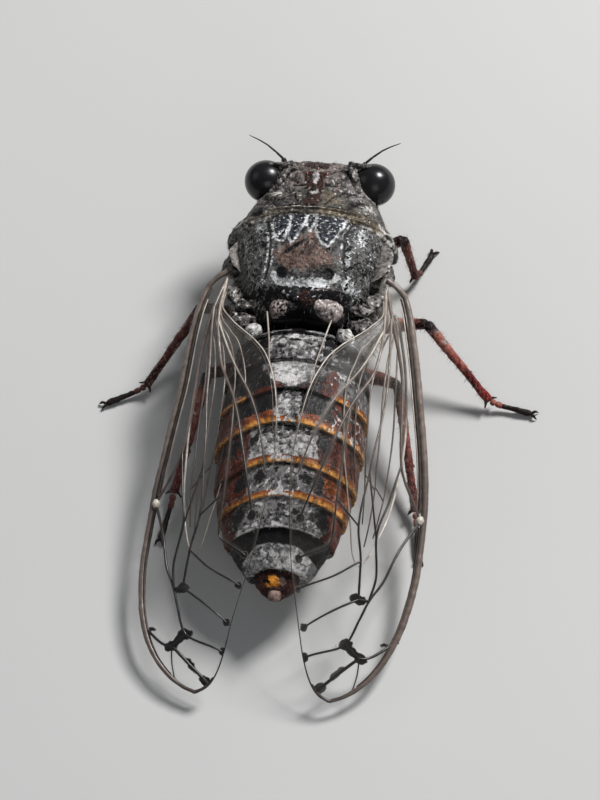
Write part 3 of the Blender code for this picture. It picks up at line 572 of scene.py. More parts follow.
def limb(path, radii, sides=24, flat=1.0, steps=None, guide=(0, 0, 1)):
    """A grid of rings along a smooth path. The radii are spread evenly over the path."""
    path = np.array(path, float)
    length = np.concatenate([[0], np.cumsum(np.linalg.norm(np.diff(path, axis=0), axis=1))])
    place = [smooth(list(zip(length, path[:, k]))) for k in range(3)]
    radius = smooth(list(zip(np.linspace(0, length[-1], len(radii)), radii)))
    at = np.linspace(0, length[-1], steps or max(8, round(length[-1] / 0.08)))
    tip, end = 0.7 * radii[0], 0.7 * radii[-1]
    between = at[1:-1][(at[1:-1] > tip) & (at[1:-1] < length[-1] - end)]
    at = np.concatenate([[0, 0.15 * tip, 0.5 * tip], between, length[-1] - np.array([0.5, 0.15, 0]) * end])
    size = radius(at)
    size[:3] *= (0.35, 0.7, 0.93)
    size[-3:] *= (0.93, 0.7, 0.35)
    spots = np.stack([f(at) for f in place], axis=1)
    ahead = np.stack([f(at + 0.01) - f(at - 0.01) for f in place], axis=1)
    ahead /= np.linalg.norm(ahead, axis=1)[:, None]
    turn = math.tau * (np.arange(sides) + 0.5) / sides
    side = np.array(guide, float)
    rings = []
    for spot, run, r in zip(spots, ahead, size):
        side = side - run * (side @ run)
        side /= np.linalg.norm(side)
        across = np.cross(run, side)
        rings.append(spot + r * (np.sin(turn)[:, None] * side + np.cos(turn)[:, None] * across * flat))
    return np.array(rings)


CROSS_LIMBS = ((((-0.1, 1.6, 8.25), (-0.85, 1.3, 8.15), (-1.8, 1.15, 7.95)), (0.14, 0.32, 0.4, 0.36), 1.35),
               (((0.75, 1.7, 8.2), (1.5, 1.3, 8.1), (2.4, 1.1, 7.85)), (0.2, 0.4, 0.48, 0.36), 1.4),
               (((-0.1, 1.75, 8.35), (-1.1, 2.25, 8.6), (-2.1, 2.85, 8.5)), (0.2, 0.2, 0.1), 1.0),
               (((0.1, 1.75, 8.35), (1.1, 2.25, 8.6), (2.1, 2.85, 8.5)), (0.2, 0.2, 0.1), 1.0))
arms = [limb(stops, radii, flat=flat, sides=48, steps=60) for stops, radii, flat in CROSS_LIMBS]
arms = [raised(grid, rough(grid, 0.4, 0.09, 3) + rough(grid, 0.12, 0.02, 2)) for grid in arms]
hump = limb(((0.35, 1.35, 8.1), (0.3, 1.75, 8.3), (0.15, 2.3, 8.55)), (0.2, 0.42, 0.25), 48, 1.7, 50)
arms.append(raised(hump, rough(hump, 0.25, 0.07, 3)))
flakes = [rough(grid, 0.18, 0.5, 3, 3.0) for grid in arms]
arm_horn = horn("arm_horn", ground=(0.13, 0.1, 0.092), mottle=(0.36, 0.3, 0.285), warm=(0.07, 0.03, 0.02),
                pale=(0.6, 0.565, 0.55), black=BLACK_AND_SHADE, hair=0.1, grain=1.2)
# The first arm, the left hind one, carries less pale than its mate on the right and is black over its inner
# part (x above -0.78): painted shade on the shaded left side.
skin("back_cross", arms, arm_horn, "grey_cuticle", marks={
    "warm": [NOTHING, NOTHING, NOTHING, NOTHING, 0.3],
    "pale": [flake - less for flake, less in zip(flakes, (0.28, 0.12, 0.15, 0.15, 0.4))],
    "black": [most(-flake - less, grid[..., 0] + 0.78 - 9 * n) for n, (flake, grid, less)
              in enumerate(zip(flakes, arms, (0.06, 0.25, 0.0, 0.0, 0.05)))]})

# Wing roots
# On each side a pale leaf-shaped lobe lies over the fore wing's root, and small hard knobs
# behind it turn the wing. The gap between them and the dome is deep and dark.
lobes = [limb(((4.25, 6.35, 7.25), (4.55, 5.4, 7.45), (4.35, 4.4, 7.6), (3.95, 3.65, 7.65)),
              (0.3, 0.52, 0.44, 0.06), flat=0.42, guide=(1, 0, 0.35)),
         limb(((-4.15, 6.0, 7.25), (-4.4, 5.2, 7.4), (-4.2, 4.5, 7.5), (-3.85, 3.85, 7.55)),
              (0.22, 0.36, 0.3, 0.05), flat=0.45, guide=(1, 0, -0.35))]
for side in (-1, 1):
    for stops, radii in ((((4.0, 5.9, 6.5), (4.5, 4.8, 6.6), (4.75, 4.0, 6.7)), (0.35, 0.42, 0.3)),
                         (((3.5, 2.2, 6.9), (4.1, 2.6, 7.0), (4.6, 3.1, 6.9)), (0.2, 0.32, 0.26)),
                         (((2.25, 0.15, 7.5), (2.7, -0.05, 7.45), (3.2, -0.25, 7.15)), (0.2, 0.32, 0.2)),
                         (((2.7, 1.0, 6.95), (3.4, 0.9, 6.95), (4.1, 1.4, 6.9)), (0.2, 0.34, 0.2)),
                         (((2.6, 1.9, 7.35), (3.4, 1.8, 7.3), (4.2, 2.2, 7.0)), (0.14, 0.24, 0.16))):
        lobes.append(limb([(side * a, b, c) for a, b, c in stops], radii, sides=32, flat=1.5))
lobes = [raised(grid, rough(grid, 0.3, 0.07 if n > 1 else 0.04, 3)) for n, grid in enumerate(lobes)]
LEAVES, WHITE_KNOBS = (0, 1), (4, 9)
rims, soot = [], []
for n, grid in enumerate(lobes):
    grime = rough(grid, 0.2, 0.5, 3)
    edge = abs(np.cos(math.tau * (np.arange(grid.shape[1]) + 0.5) / grid.shape[1]))
    rims.append(0.02 - edge * 0.5 + grime if n in LEAVES else grime + (0.1 if n in WHITE_KNOBS else -0.26))
    soot.append(-grime - (0.3 if n in LEAVES + WHITE_KNOBS else 0.06))
lobe_horn = horn("lobe_horn", ground=(0.05, 0.044, 0.04), mottle=(0.24, 0.22, 0.205), pale=(0.6, 0.58, 0.55),
                 black=BLACK_AND_SHADE, hair=0.15)
skin("wing_root_lobes", lobes, lobe_horn, "grey_cuticle", marks={"pale": rims, "black": soot})

# Sides and underside of the chest
# Brown plates below the wings, with the seams between them, dusted with grey hair.
chest_half = smooth([(0.4, 3.7), (1.5, 4.25), (3.5, 4.6), (5.5, 4.65), (7.0, 4.35), (7.6, 4.1)])
rows = np.array([section(y, chest_half(y), 6.35, 2.05, 4.7, bow_at(y), 4, 2.3)
                 for y in np.linspace(0.2, 7.5, 150)])
x, y, z = np.moveaxis(rows, 2, 0)
keel = abs(x) + 9 * (z > 2.6) + 9 * (abs(x) > 0.5)
hollow = bell(least(abs(y - 5.2 + 0.5 * (z - 4)), abs(y - 2.4 + 0.35 * (z - 4)), keel), 0.13)
rows = raised(rows, rough(rows, 0.7, 0.1, 4) - 0.14 * hollow)
shell, marks = rounded(rows, 0.12, pale=rough(rows, 0.6, 0.5, 3) - 0.1,
                       warm=rough(rows, 1.0, 0.6, 2, 4.0) - 0.1,
                       fur=1 - hollow, black=on(z > 6.1, 0.3, hollow * 0.4 - 0.3))
side_horn = horn("side_horn", ground=(0.05, 0.035, 0.028), mottle=(0.16, 0.13, 0.11),
                 warm=(0.13, 0.075, 0.05), pale=(0.42, 0.4, 0.37), black=BLACK_AND_SHADE, hair=0.7)
chest_skin = skin("chest_sides", shell, side_horn, "brown_cuticle", ("thorax",), marks)

# Shield behind the head
# It overlaps the dome with a rolled collar, wider at the sides, where it ends in a rounded lobe.
# Slanting grooves cross its middle part, and a red-brown stripe runs along it.
COLLAR_REAR = 7.35
shield_half = smooth([(7.35, 5.05), (7.7, 5.0), (8.2, 4.6), (9.0, 4.15), (9.95, 3.7)])
shield_top = smooth([(7.35, 8.85), (7.8, 8.95), (8.5, 8.6), (9.2, 8.15), (9.95, 7.7)])
levels = np.concatenate([np.linspace(COLLAR_REAR, 8.6, 90), np.linspace(8.62, 9.95, 60)])
rows = np.array([section(y, shield_half(y), shield_top(y), 4.6, 5.9, bow_at(y), lower=4, sides=440)
                 for y in levels])
x, y, z = np.moveaxis(rows, 2, 0)
wide = abs(x)
above = z > 6.4
t = (levels[:, None] - COLLAR_REAR) / (0.5 + 0.5 * unit(wide / 4.8) ** 2)
collar, ahead_of_it = t < 1, t > 1
GROOVES = (((-0.8, 8.2), (-1.3, 9.2), (-2.0, 9.8)), ((0.7, 8.2), (1.15, 9.2), (1.8, 9.9)),
           ((-2.2, 8.1), (-2.75, 9.0), (-3.2, 9.3)), ((2.1, 8.1), (2.7, 9.0), (3.2, 9.3)))
STRIPE_EDGES = (((-0.5, 8.1), (-0.55, 9.9)), ((0.35, 8.1), (0.4, 9.9)))
grooves = least(*[from_line(rows, *groove) for groove in GROOVES])
stripe_edge = least(*[from_line(rows, *edge) for edge in STRIPE_EDGES])
lift = 0.1 * bell(t - 0.22, 0.2) + 0.1 * bell(t - 0.78, 0.16)
lift -= (0.16 * bell(t - 1.12, 0.12) + 0.12 * bell(grooves, 0.13)) * ahead_of_it
lift += 0.1 * bell(wide - 2.5, 0.45) * bell(y - 9.15, 0.4) - 0.03 * bell(stripe_edge, 0.08)
lift += rough(rows, 0.7, 0.05, 4) + rough(rows, 0.2, 0.02, 2)
speckle = rough(rows, 0.25, 0.5, 3, 2.0)
fine = rough(rows, 0.16, 0.5, 3, 11.0)
warm = most(on(collar, most(least(x - 0.3, 4.6 - x), on(x < 0.3, 0.03 + 0.3 * speckle))),
            on(ahead_of_it, inside(rows, ((0.4, 9.75), (0.95, 9.6), (1.55, 8.8), (2.0, 8.2), (0.4, 8.25)))))
deep = on(ahead_of_it, most(least(0.42 - abs(x + 0.08), 9.9 - y), patch(rows, -0.1, 8.5, 0.6, 0.35)))
# The pale line just inside the collar's front edge (t near 0.95), kept to x below 1, is a painted highlight.
pale = most(patch(rows, -0.1, 9.4, 0.26, 0.3) + 0.1 * speckle, on(t < 0.12, 0.5 * fine), fine - 0.3,
            on(x < 1, 0.03 - abs(t - 0.95) * 0.6 + 0.2 * fine), on((wide > 3.9) & collar, speckle),
            patch(rows, 2.5, 9.3, 0.6, 0.5) - 0.2 + speckle, patch(rows, 3.2, 8.7, 0.7, 0.6) - 0.3 + speckle,
            patch(rows, -2.35, 9.35, 0.5, 0.42) - 0.1 + 0.7 * speckle)
# Ahead of the collar the black speckle covers more of the left half (x below 0) than the right: painted shade
# on the shaded left side.
black = most(patch(rows, 2.35, 8.6, 0.28, 0.15), patch(rows, -3.3, 7.75, 0.45, 0.5, 30),
             patch(rows, 4.5, 6.9, 0.18, 0.14), on(ahead_of_it, most(
                 0.05 - grooves, 0.08 - abs(t - 1.1) * 0.6, speckle * 1.2 - on(x < 0, 0.16, 0.36))))
fur = on(above, np.clip((wide - 2.5) / 1.5, 0.1, 1) * (0.4 + 0.6 * ahead_of_it), 0.6)
shell, marks = rounded(raised(rows, lift), 0.11, fur=fur, warm=on(above, warm), deep=on(above, deep),
                       pale=on(above, pale, speckle - 0.3), black=on(above, black, speckle - 0.2))
shield_horn = horn("shield_horn", ground=(0.022, 0.02, 0.018), mottle=(0.125, 0.115, 0.1), black=BLACK_AND_SHADE,
                   warm=(0.12, 0.1, 0.078), warm_core=(0.165, 0.13, 0.09), deep=(0.032, 0.012, 0.009),
                   pale=(0.48, 0.46, 0.43), hair=0.12, grain=1.1, ragged=0.2)
shield_skin = skin("shield", shell, shield_horn, "grey_cuticle", ("pronotum",), marks)

# Head
# A short wide cap between the eyes. Folds run beside the eyes, three small red simple eyes sit
# on its crown, and a dark stripe goes on from the shield.
head_half = smooth([(9.9, 3.45), (10.8, 3.4), (11.5, 3.3), (12.2, 3.05), (12.65, 2.6)])
head_top = smooth([(9.9, 7.72), (10.8, 7.65), (11.6, 7.3), (12.2, 6.85), (12.65, 6.2)])
head_low = smooth([(9.9, 3.5), (11.0, 3.2), (12.0, 3.9), (12.65, 5.2)])
rows = np.array([section(y, head_half(y), head_top(y), head_low(y), 6.0, 0.3, sides=400)
                 for y in np.linspace(9.9, 12.65, 130)])
x, y, z = np.moveaxis(rows, 2, 0)
wide = abs(x + 0.12)
EYE, EYE_RADII = (3.35, 11.15, 6.5), (1.3, 1.28, 1.3)
orbit = np.linalg.norm((np.stack([abs(x), y, z], axis=2) - EYE) / EYE_RADII, axis=2)
FOLDS = (((1.1, 10.35), (1.75, 10.75), (2.15, 11.4), (2.3, 12.2)), ((0.75, 11.1), (1.2, 11.7), (1.5, 12.4)))
folds = least(*[from_line(np.stack([wide, y], axis=2), *line) for line in FOLDS])
slits = least(from_line(rows, (-1.45, 10.14), (-0.78, 10.1)), from_line(rows, (0.52, 10.16), (1.12, 10.22)))
above = z > 5.6
lift = 0.14 * bell(orbit - 1.12, 0.1) - 0.14 * bell(folds, 0.16) * above + rough(rows, 0.5, 0.06, 4)
lift += 0.1 * bell(wide - 1.6, 0.4) * bell(y - 12.1, 0.4) - 0.1 * bell(slits, 0.1)
speckle = rough(rows, 0.25, 0.5, 3, 5.0)
fine = rough(rows, 0.16, 0.5, 3, 11.0)
stripe = inside(rows, ((-0.85, 11.15), (0.5, 11.15), (0.32, 10.4), (0.45, 9.8), (-0.6, 9.8), (-0.8, 10.4)))
stripe = most(stripe, patch(rows, -0.15, 11.95, 0.8, 0.42) + 0.2 * speckle)
# The pale speckle covers more of the head right of x = 0.5 than left of it: painted light on the lit right
# side.
pale = most(patch(rows, -0.14, 10.72, 0.2, 0.45) + 0.1 * speckle, on(wide > 1.5, fine - 0.16),
            fine - on(x > 0.5, 0.22, 0.34), patch(rows, 0.9, 10.7, 0.4, 0.3) - 0.3 + speckle,
            0.1 - abs(orbit - 1.12))
black = most(0.08 - slits, 0.02 - folds + speckle * 0.3, on(wide > 1.5, speckle * 1.3 - 0.34),
             patch(rows, 1.85, 11.3, 0.7, 0.2, -20), patch(rows, -1.95, 11.2, 0.7, 0.2, 20),
             patch(rows, 1.9, 12.1, 0.5, 0.22) - 0.05, patch(rows, -2.0, 12.1, 0.5, 0.22) - 0.05)
shell, marks = rounded(raised(rows, lift), 0.12, warm=on(above & (wide < 1.5), speckle),
                       deep=on(above, stripe), fur=on(above, np.clip((wide - 1.2) / 0.8, 0.15, 1), 0.5),
                       pale=on(above, pale, speckle - 0.1), black=on(above, black, speckle - 0.3))
head_horn = horn("head_horn", ground=(0.03, 0.027, 0.026), mottle=(0.15, 0.135, 0.125), black=BLACK_AND_SHADE,
                 warm=(0.2, 0.15, 0.13), deep=(0.032, 0.012, 0.009), pale=(0.45, 0.42, 0.41), hair=0.12,
                 grain=1.2, ragged=0.2)
head_skin = skin("head_cap", shell, head_horn, "grey_cuticle", ("head",), marks)


def oval(centre, radii, sides, rings):
    """A closed grid of rings over an ellipsoid, from its rear to its front."""
    down = np.linspace(0.03, math.pi - 0.03, rings)[:, None]
    turn = math.tau * np.arange(sides) / sides
    ring = [np.sin(down) * np.cos(turn), -np.cos(down) * np.ones(sides), np.sin(down) * np.sin(turn)]
    return np.array(centre) + np.stack(ring, axis=2) * radii


bead = two_toned("simple_eye", 6000.0, 2.0, (0.06, 0.006, 0.004), (0.12, 0.016, 0.008),
                 {"Roughness": 0.08, "Coat Weight": 1.0})
skin("simple_eyes", [oval(centre, (0.12, 0.12, 0.1), 24, 16) for centre in (
    (-0.12, 11.45, 7.42), (-0.72, 10.95, 7.62), (0.48, 10.98, 7.62))], bead, "eye_shell")

# Eyes
# Two large glossy black balls, made of thousands of tiny lenses, standing out at the sides.
tree, shader, lens_shell = finish_of("eye_lens")
cloud = clouds(tree, 900.0, 3.0)
cells = add(tree, "TexVoronoi", {"Vector": add(tree, "TexCoord").outputs["Object"], "Scale": 22000.0})
fill(shader, {"Base Color": blended(tree, cloud, (0.003, 0.003, 0.004), (0.012, 0.01, 0.011)),
              "Roughness": ranged(tree, cloud, 0.3, 0.7, 0.16, 0.34),
              "Normal": relief(tree, cells, 0.000004, 0.6),
              "Specular IOR Level": 0.3, "Coat Weight": 0.12, "Coat Roughness": 0.1})
for label, centre in (("left", (0.1 - EYE[0], EYE[1] - 0.22, EYE[2])),
                      ("right", (EYE[0] - 0.12, EYE[1] - 0.05, EYE[2]))):
    skin("eye_ball_" + label, oval(centre, EYE_RADII, 120, 90), lens_shell, "eye_shell", ("eye_" + label,))

# Brows
# Ridges of grey horn that hold the eyes: one over the front of each eye, two along its inner side.
brows = []
for side, back_by in ((-1, 0.2), (1, 0.0)):
    for stops, radii in (
            (((1.6, 12.2, 6.7), (2.4, 12.2, 6.85), (3.2, 12.05, 6.8), (3.9, 11.75, 6.6), (4.25, 11.4, 6.35)),
             (0.12, 0.15, 0.13, 0.1, 0.05)),
            (((1.7, 12.2, 7.1), (2.15, 11.8, 7.45), (2.75, 11.65, 7.68), (3.3, 11.7, 7.6)),
             (0.14, 0.16, 0.12, 0.04)),
            (((2.5, 9.95, 7.0), (2.35, 10.45, 7.35), (2.1, 11.1, 7.5), (1.75, 11.7, 7.4)),
             (0.2, 0.22, 0.18, 0.1))):
        grid = limb([(side * a, b - back_by, c) for a, b, c in stops], radii, sides=40, steps=70)
        brows.append(raised(grid, rough(grid, 0.3, 0.07, 3) + rough(grid, 0.1, 0.03, 2)))
grime = [rough(grid, 0.25, 0.5, 3, 2.0) for grid in brows]
clear = [NOTHING] * len(brows)
brow_skin = skin("brows", brows, head_horn, "grey_cuticle", marks={
    "pale": [field - 0.2 for field in grime], "black": [-field - 0.2 for field in grime], "warm": clear,
    "deep": clear, "fur": [0.4] * len(brows)})

# Face
# The swollen front of the sucking pump. Bowed ribs run down both sides of a smooth middle strip.
FACE, FACE_RADII, FACE_RIBS = (0.0, 11.75, 4.85), (1.6, 1.4, 1.75), 11
rows = oval(FACE, FACE_RADII, 160, 120)
x, y, z = np.moveaxis((rows - FACE) / FACE_RADII, 2, 0)
ribs = np.cos((z + 0.25 * abs(x)) * math.pi * FACE_RIBS)
strip = unit((abs(x) - 0.16) / 0.12)
front = unit(y + 0.4)
rows = raised(rows, 0.05 * ribs * strip * front - 0.03 * (1 - strip) * front)
face_horn = horn("face_horn", ground=(0.03, 0.02, 0.017), mottle=(0.07, 0.05, 0.04), warm=(0.17, 0.1, 0.065),
                 pale=(0.36, 0.29, 0.2), black=BLACK_AND_SHADE, hair=0.2, ragged=0.1)
skin("face", rows, face_horn, "brown_cuticle", ("clypeus",), {
    "warm": (ribs * 0.2 + 0.02) * strip - 0.5 * (1 - strip), "pale": 0.06 - abs(abs(x) - 0.2) - (1 - front),
    "black": -ribs * 0.3 * strip - 0.2})

# Beak
# The sucking tube in its sheath of three joints, folded back under the chest to the middle legs.
sheath = [limb(((0, 11.75, 3.4), (0, 11.6, 2.5), (0, 10.9, 1.75)), (0.55, 0.5, 0.42)),
          limb(((0, 11.2, 1.95), (0, 10.2, 1.38), (0, 9.3, 1.22)), (0.42, 0.42, 0.36)),
          limb(((0, 9.35, 1.22), (0, 7.5, 1.15), (0, 4.6, 1.0)), (0.34, 0.36, 0.3, 0.2))]
dark_ends = [np.linspace(-0.3, end, len(grid))[:, None] for grid, end in zip(sheath, (-0.2, -0.2, 0.5))]
beak_horn = horn("beak_horn", ground=(0.06, 0.035, 0.025), mottle=(0.17, 0.11, 0.07),
                 black=(0.01, 0.008, 0.007), hair=0.2)
skin("beak", sheath, beak_horn, "dark_cuticle", ("rostrum",), {"black": dark_ends})

# Feelers
# Two thick joints and a bristle that thins away to a hair. The bristle has five fine joints; here it is made
# of three pieces.
FEELER = ((((2.2, 12.45, 5.4), (2.35, 12.9, 5.65)), (0.2, 0.22, 0.18)),
          (((2.35, 12.9, 5.65), (2.55, 13.1, 5.8)), (0.15, 0.16, 0.14)),
          (((2.53, 13.1, 5.8), (2.95, 13.34, 6.1)), (0.08, 0.07)),
          (((2.95, 13.34, 6.1), (3.45, 13.6, 6.38)), (0.065, 0.055)),
          (((3.43, 13.6, 6.38), (4.0, 13.8, 6.62), (4.6, 13.95, 6.85)), (0.052, 0.04, 0.02)))
for side, label in ((-1, "left"), (1, "right")):
    joints = [limb([(side * a, b, c) for a, b, c in stops], radii, sides=16) for stops, radii in FEELER]
    feeler_horn = horn("feeler_horn_" + label, ground=(0.02, 0.016, 0.015), mottle=(0.07, 0.055, 0.05),
                       hair=0.2)
    skin("feeler_" + label, joints, feeler_horn, "dark_cuticle", ("antenna_" + label,))

# Tail
# The cup that closes the abdomen is dark red-brown, with an amber spot above the small vent tube.
TAIL_START, TAIL_MIDDLE = -14.0, 3.5
levels = np.linspace(TAIL_START, -15.6, 70)
narrow = np.sqrt(np.clip(1 - unit(-14.6 - levels) ** 2, 0.02, 1))
narrow *= np.clip(0.72 + (TAIL_START - levels) * 0.3, 0.7, 0.9)
rows = []
for y, k in zip(levels, narrow):
    low, top = (TAIL_MIDDLE + (edge(y) - TAIL_MIDDLE) * k for edge in (belly_low, belly_top))
    rows.append(section(y, belly_half(y) * k, top, low, TAIL_MIDDLE))
rows = np.array(rows)
below = 9 * (rows[..., 2] < 3.6)
amber = patch(rows, -0.15, -14.7, 0.42, 0.34) + 0.1 * rough(rows, 0.2, 0.5, 2) - below
bare = patch(rows, 0.42, -14.62, 0.2, 0.2) - below
rows = raised(rows, rough(rows, 0.4, 0.05, 4) + 0.1 * unit(amber * 4))
grime = rough(rows, 0.5, 0.6, 3) - 0.25
cup, marks = rounded(rows, 0.05, 4, warm=amber, pale=most(grime - 0.2, bare), black=grime)
vent = limb(((0, -15.0, 3.75), (0, -15.4, 3.7), (0, -15.72, 3.6)), (0.4, 0.4, 0.32))
vent_ring = limb(((0, -14.9, 3.8), (0, -15.25, 3.75)), (0.5, 0.48))
tail_horn = horn("tail_horn", ground=(0.02, 0.007, 0.006), mottle=(0.06, 0.022, 0.016),
                 warm=(0.7, 0.26, 0.03), pale=(0.3, 0.2, 0.17), black=BLACK_AND_SHADE, hair=0.15, ragged=0.12)
skin("tail_cup", [cup, vent, vent_ring], tail_horn, "dark_cuticle", ("pygofer",), {
    kind: [field, 0.15 if kind == "pale" else NOTHING, NOTHING] for kind, field in marks.items()})

# Underside plates
# A plate between the front legs, and two rounded covers over the sound chambers, each hinged at
# its front edge and free behind.
breast_half = smooth([(7.5, 3.1), (8.4, 3.0), (9.3, 2.75), (9.75, 2.3)])
rows = np.array([section(y, breast_half(y), 4.75, 2.1, 3.4, 0.4, upper=4, sides=96)
                 for y in np.linspace(9.75, 7.5, 60)])
breast = rounded(raised(rows, rough(rows, 0.6, 0.08, 4)), 0.12)[0]
covers = []
COVER_GAP, HINGE = 0.72, -1.0
waist = WAIST * (belly_top(HINGE) - belly_low(HINGE))
for side in (-1, 1):
    disc = oval((0, 0, 0), (1.42, 1.47, 0.24), 96, 60)
    disc[..., 0] += side * 1.9
    disc[..., 1] -= 1.1
    curve = unit(1 - abs(disc[..., 0] / belly_half(HINGE)) ** 2.2) ** (1 / 2.2)
    disc[..., 2] += belly_low(HINGE) + waist * (1 - curve) - COVER_GAP + 0.05 * np.cos(disc[..., 1] * 9)
    covers.append(disc)
for name, sheets, solids in (("breast_plate", [breast], ("prosternum",)),
                             ("sound_covers", covers, ("operculum_left", "operculum_right"))):
    skin(name, sheets, side_horn, "brown_cuticle", solids, {
        "pale": [rough(grid, 0.5, 0.5, 3) - 0.1 for grid in sheets],
        "warm": [rough(grid, 0.9, 0.6, 2, 3.0) for grid in sheets],
        "black": [rough(grid, 0.4, 0.5, 2, 8.0) - 0.2 for grid in sheets]})

# Fore wings
# Clear stiff films stretched between horny veins, folded over the body like a roof. The veins are
# pale towards the root and black beyond, and dark spots sit on the cross veins and vein ends.
outer_edge = smooth([(4.6, 4.75), (4.2, 5.4), (3.5, 5.95), (0.6, 6.75), (-3.5, 7.5), (-6.4, 7.95),
                     (-9.0, 8.15), (-12.6, 8.05), (-15.4, 7.6), (-17.2, 7.0), (-18.6, 6.25), (-19.7, 5.25),
                     (-20.3, 4.35), (-20.62, 3.5)])
inner_edge = smooth([(4.6, 4.5), (3.4, 4.35), (2.6, 4.6), (1.6, 4.7), (0.4, 4.0), (-1.1, 2.6), (-2.0, 2.0),
                     (-3.2, 1.5), (-4.3, 1.15), (-5.0, 1.0), (-7.0, 0.72), (-9.0, 0.55), (-12.0, 0.72),
                     (-14.5, 1.0), (-16.2, 1.35), (-17.6, 1.65), (-18.8, 1.95), (-20.1, 2.6), (-20.62, 3.4)])
outer_height = smooth([(4.6, 6.85), (3.5, 6.35), (0, 5.25), (-5.0, 3.8), (-9.5, 2.65), (-12.0, 2.2),
                       (-16.0, 1.6), (-20.62, 0.9)])
inner_height = smooth([(4.6, 7.0), (2.6, 7.2), (1.0, 7.6), (-1.3, 8.3), (-2.3, 8.65), (-4.3, 8.9),
                       (-7.0, 8.8), (-9.0, 8.3), (-11.0, 7.65), (-14.0, 6.1), (-17.0, 4.2), (-20.62, 1.0)])
left_lean = smooth([(4.6, 0.0), (1.0, -0.1), (-3.3, -0.38), (-5.6, -0.38), (-9.7, -0.15), (-11.8, 0.05),
                    (-16.0, 0.5), (-17.8, 0.65), (-20.62, 0.7)])
ROOF_BEND, FILM, VEIN_STEP, VEIN_SIDES, VEIN_WIDTH = 1.8, 0.03, 0.12, 10, 0.85


def lean(y, side):
    return left_lean(y) if side < 0 else 0 * y


def roof(x, y, side):
    """The height of a fore wing's film at places in plan."""
    inner, outer = inner_edge(y), outer_edge(y)
    across = np.clip((side * x - lean(y, side) - inner) / most(outer - inner, 0.3), 0, 1.15)
    return inner_height(y) - (inner_height(y) - outer_height(y)) * across ** ROOF_BEND


JOINTS = {
    "root": (4.75, 3.75), "basal_out": (5.3, 1.6), "basal_in": (4.95, 0.5), "node": (7.85, -9.6),
    "sector_fork": (6.6, -7.1), "sector_mid": (6.8, -12.1), "medial_fork": (4.95, -8.4),
    "medial_out": (5.6, -11.9), "medial_in": (4.6, -11.6), "cubital_fork": (3.6, -5.0),
    "cubital_mid": (3.3, -10.6), "cross_high": (4.85, -13.4), "cross_low": (4.88, -15.4),
    "sector_low": (5.45, -15.3), "apex_in": (4.3, -17.8), "apex_out": (5.12, -18.25),
    "costa_low": (7.2, -16.75), "end_1": (2.75, -20.2), "end_2": (2.1, -18.7), "end_3": (1.95, -17.36),
    "end_4": (1.45, -15.6), "end_5": (1.4, -14.07), "end_6": (1.35, -12.05), "end_7": (1.05, -9.6)}
# Joints of each vein, its width at both ends, and how dark it is at both ends
VEINS = (
    (("root", "basal_out", (6.2, -2.0), "sector_fork", "node"), (0.26, 0.17), (0.45, 0.6)),
    (("root", "basal_in", (4.75, -1.9), "cubital_fork", (2.6, -8.2), "end_6"), (0.22, 0.12), (0.1, 1.0)),
    (("basal_out", (5.45, -2.9), "medial_fork"), (0.17, 0.14), (0.25, 0.7)),
    (("basal_in", (3.9, -2.5), (2.5, -5.2), (1.5, -8.0), "end_7"), (0.15, 0.1), (0.0, 0.75)),
    (("sector_fork", (6.1, -9.6), "medial_out", (5.75, -13.8), "sector_low"), (0.15, 0.17), (0.9, 1.0)),
    (("medial_fork", "medial_in", "cross_high", "cross_low"), (0.13, 0.17), (0.7, 1.0)),
    (("medial_fork", "medial_out"), (0.13, 0.13), (0.7, 1.0)),
    (("cubital_fork", "cubital_mid", (3.2, -12.8), "end_5"), (0.13, 0.13), (0.5, 1.0)),
    (("cubital_mid", "medial_in"), (0.12, 0.12), (0.8, 1.0)),
    (("cross_high", (3.4, -14.6), "end_4"), (0.14, 0.13), (1.0, 1.0)),
    (("cross_low", (3.1, -16.6), "end_3"), (0.16, 0.13), (1.0, 1.0)),
    (("node", "sector_mid", (6.15, -14.0), "sector_low", (5.0, -16.4), "apex_in", "end_2"), (0.2, 0.15),
     (0.85, 1.0)),
    (("cross_low", "sector_low"), (0.2, 0.2), (1.0, 1.0)),
    (("apex_in", "apex_out", "costa_low"), (0.2, 0.18), (1.0, 1.0)),
    (("apex_out", (3.9, -19.3), "end_1"), (0.22, 0.24), (1.0, 1.0)),
    (("apex_out", (5.05, -19.0), (4.8, -19.9)), (0.1, 0.08), (1.0, 1.0)))
# Place, half width, half length and turn of each dark spot
SPOTS = ((4.9, -15.4, 0.5, 0.3, 5), (4.3, -17.8, 0.5, 0.26, 20), (4.75, -18.05, 0.5, 0.24, -25),
         (5.15, -18.25, 0.4, 0.26, 0), (3.9, -19.25, 0.5, 0.16, 42), (2.95, -20.05, 0.42, 0.26, 30),
         (2.05, -18.7, 0.22, 0.22, 0), (1.93, -17.36, 0.22, 0.2, 0), (1.5, -15.6, 0.2, 0.18, 0),
         (1.42, -14.07, 0.22, 0.22, 0), (1.35, -12.05, 0.26, 0.26, 0), (6.45, -17.15, 0.3, 0.1, 25))
# Edge, distance from it, both ends, count of stops, widths, shades and height of each vein beside an edge
RIM_VEINS = (
    (outer_edge, -0.4, 3.2, -9.2, 40, (0.16, 0.2, 0.18, 0.2), (0.75, 0.75, 0.85, 0.8), 0.05),
    (outer_edge, -0.54, 2.4, -9.0, 40, (0.08, 0.09, 0.08, 0.06), (0.1, 0.05, 0.2, 0.5), 0.04),
    (outer_edge, -0.3, -10.0, -19.6, 40, (0.2, 0.16, 0.12, 0.08), (1.0, 0.75, 0.6, 0.9), 0.03),
    (inner_edge, 0.03, -8.6, -20.4, 50, (0.04, 0.045, 0.05, 0.1), (0.6, 0.8, 0.8, 1.0), 0.0),
    (inner_edge, 0.1, 2.6, -8.6, 50, (0.1, 0.075, 0.06, 0.05), (0.25, 0.0, 0.0, 0.6), 0.02),
    (inner_edge, 0.3, 2.2, -7.4, 40, (0.05, 0.045, 0.04), (0.6, 0.5, 0.8), 0.0))


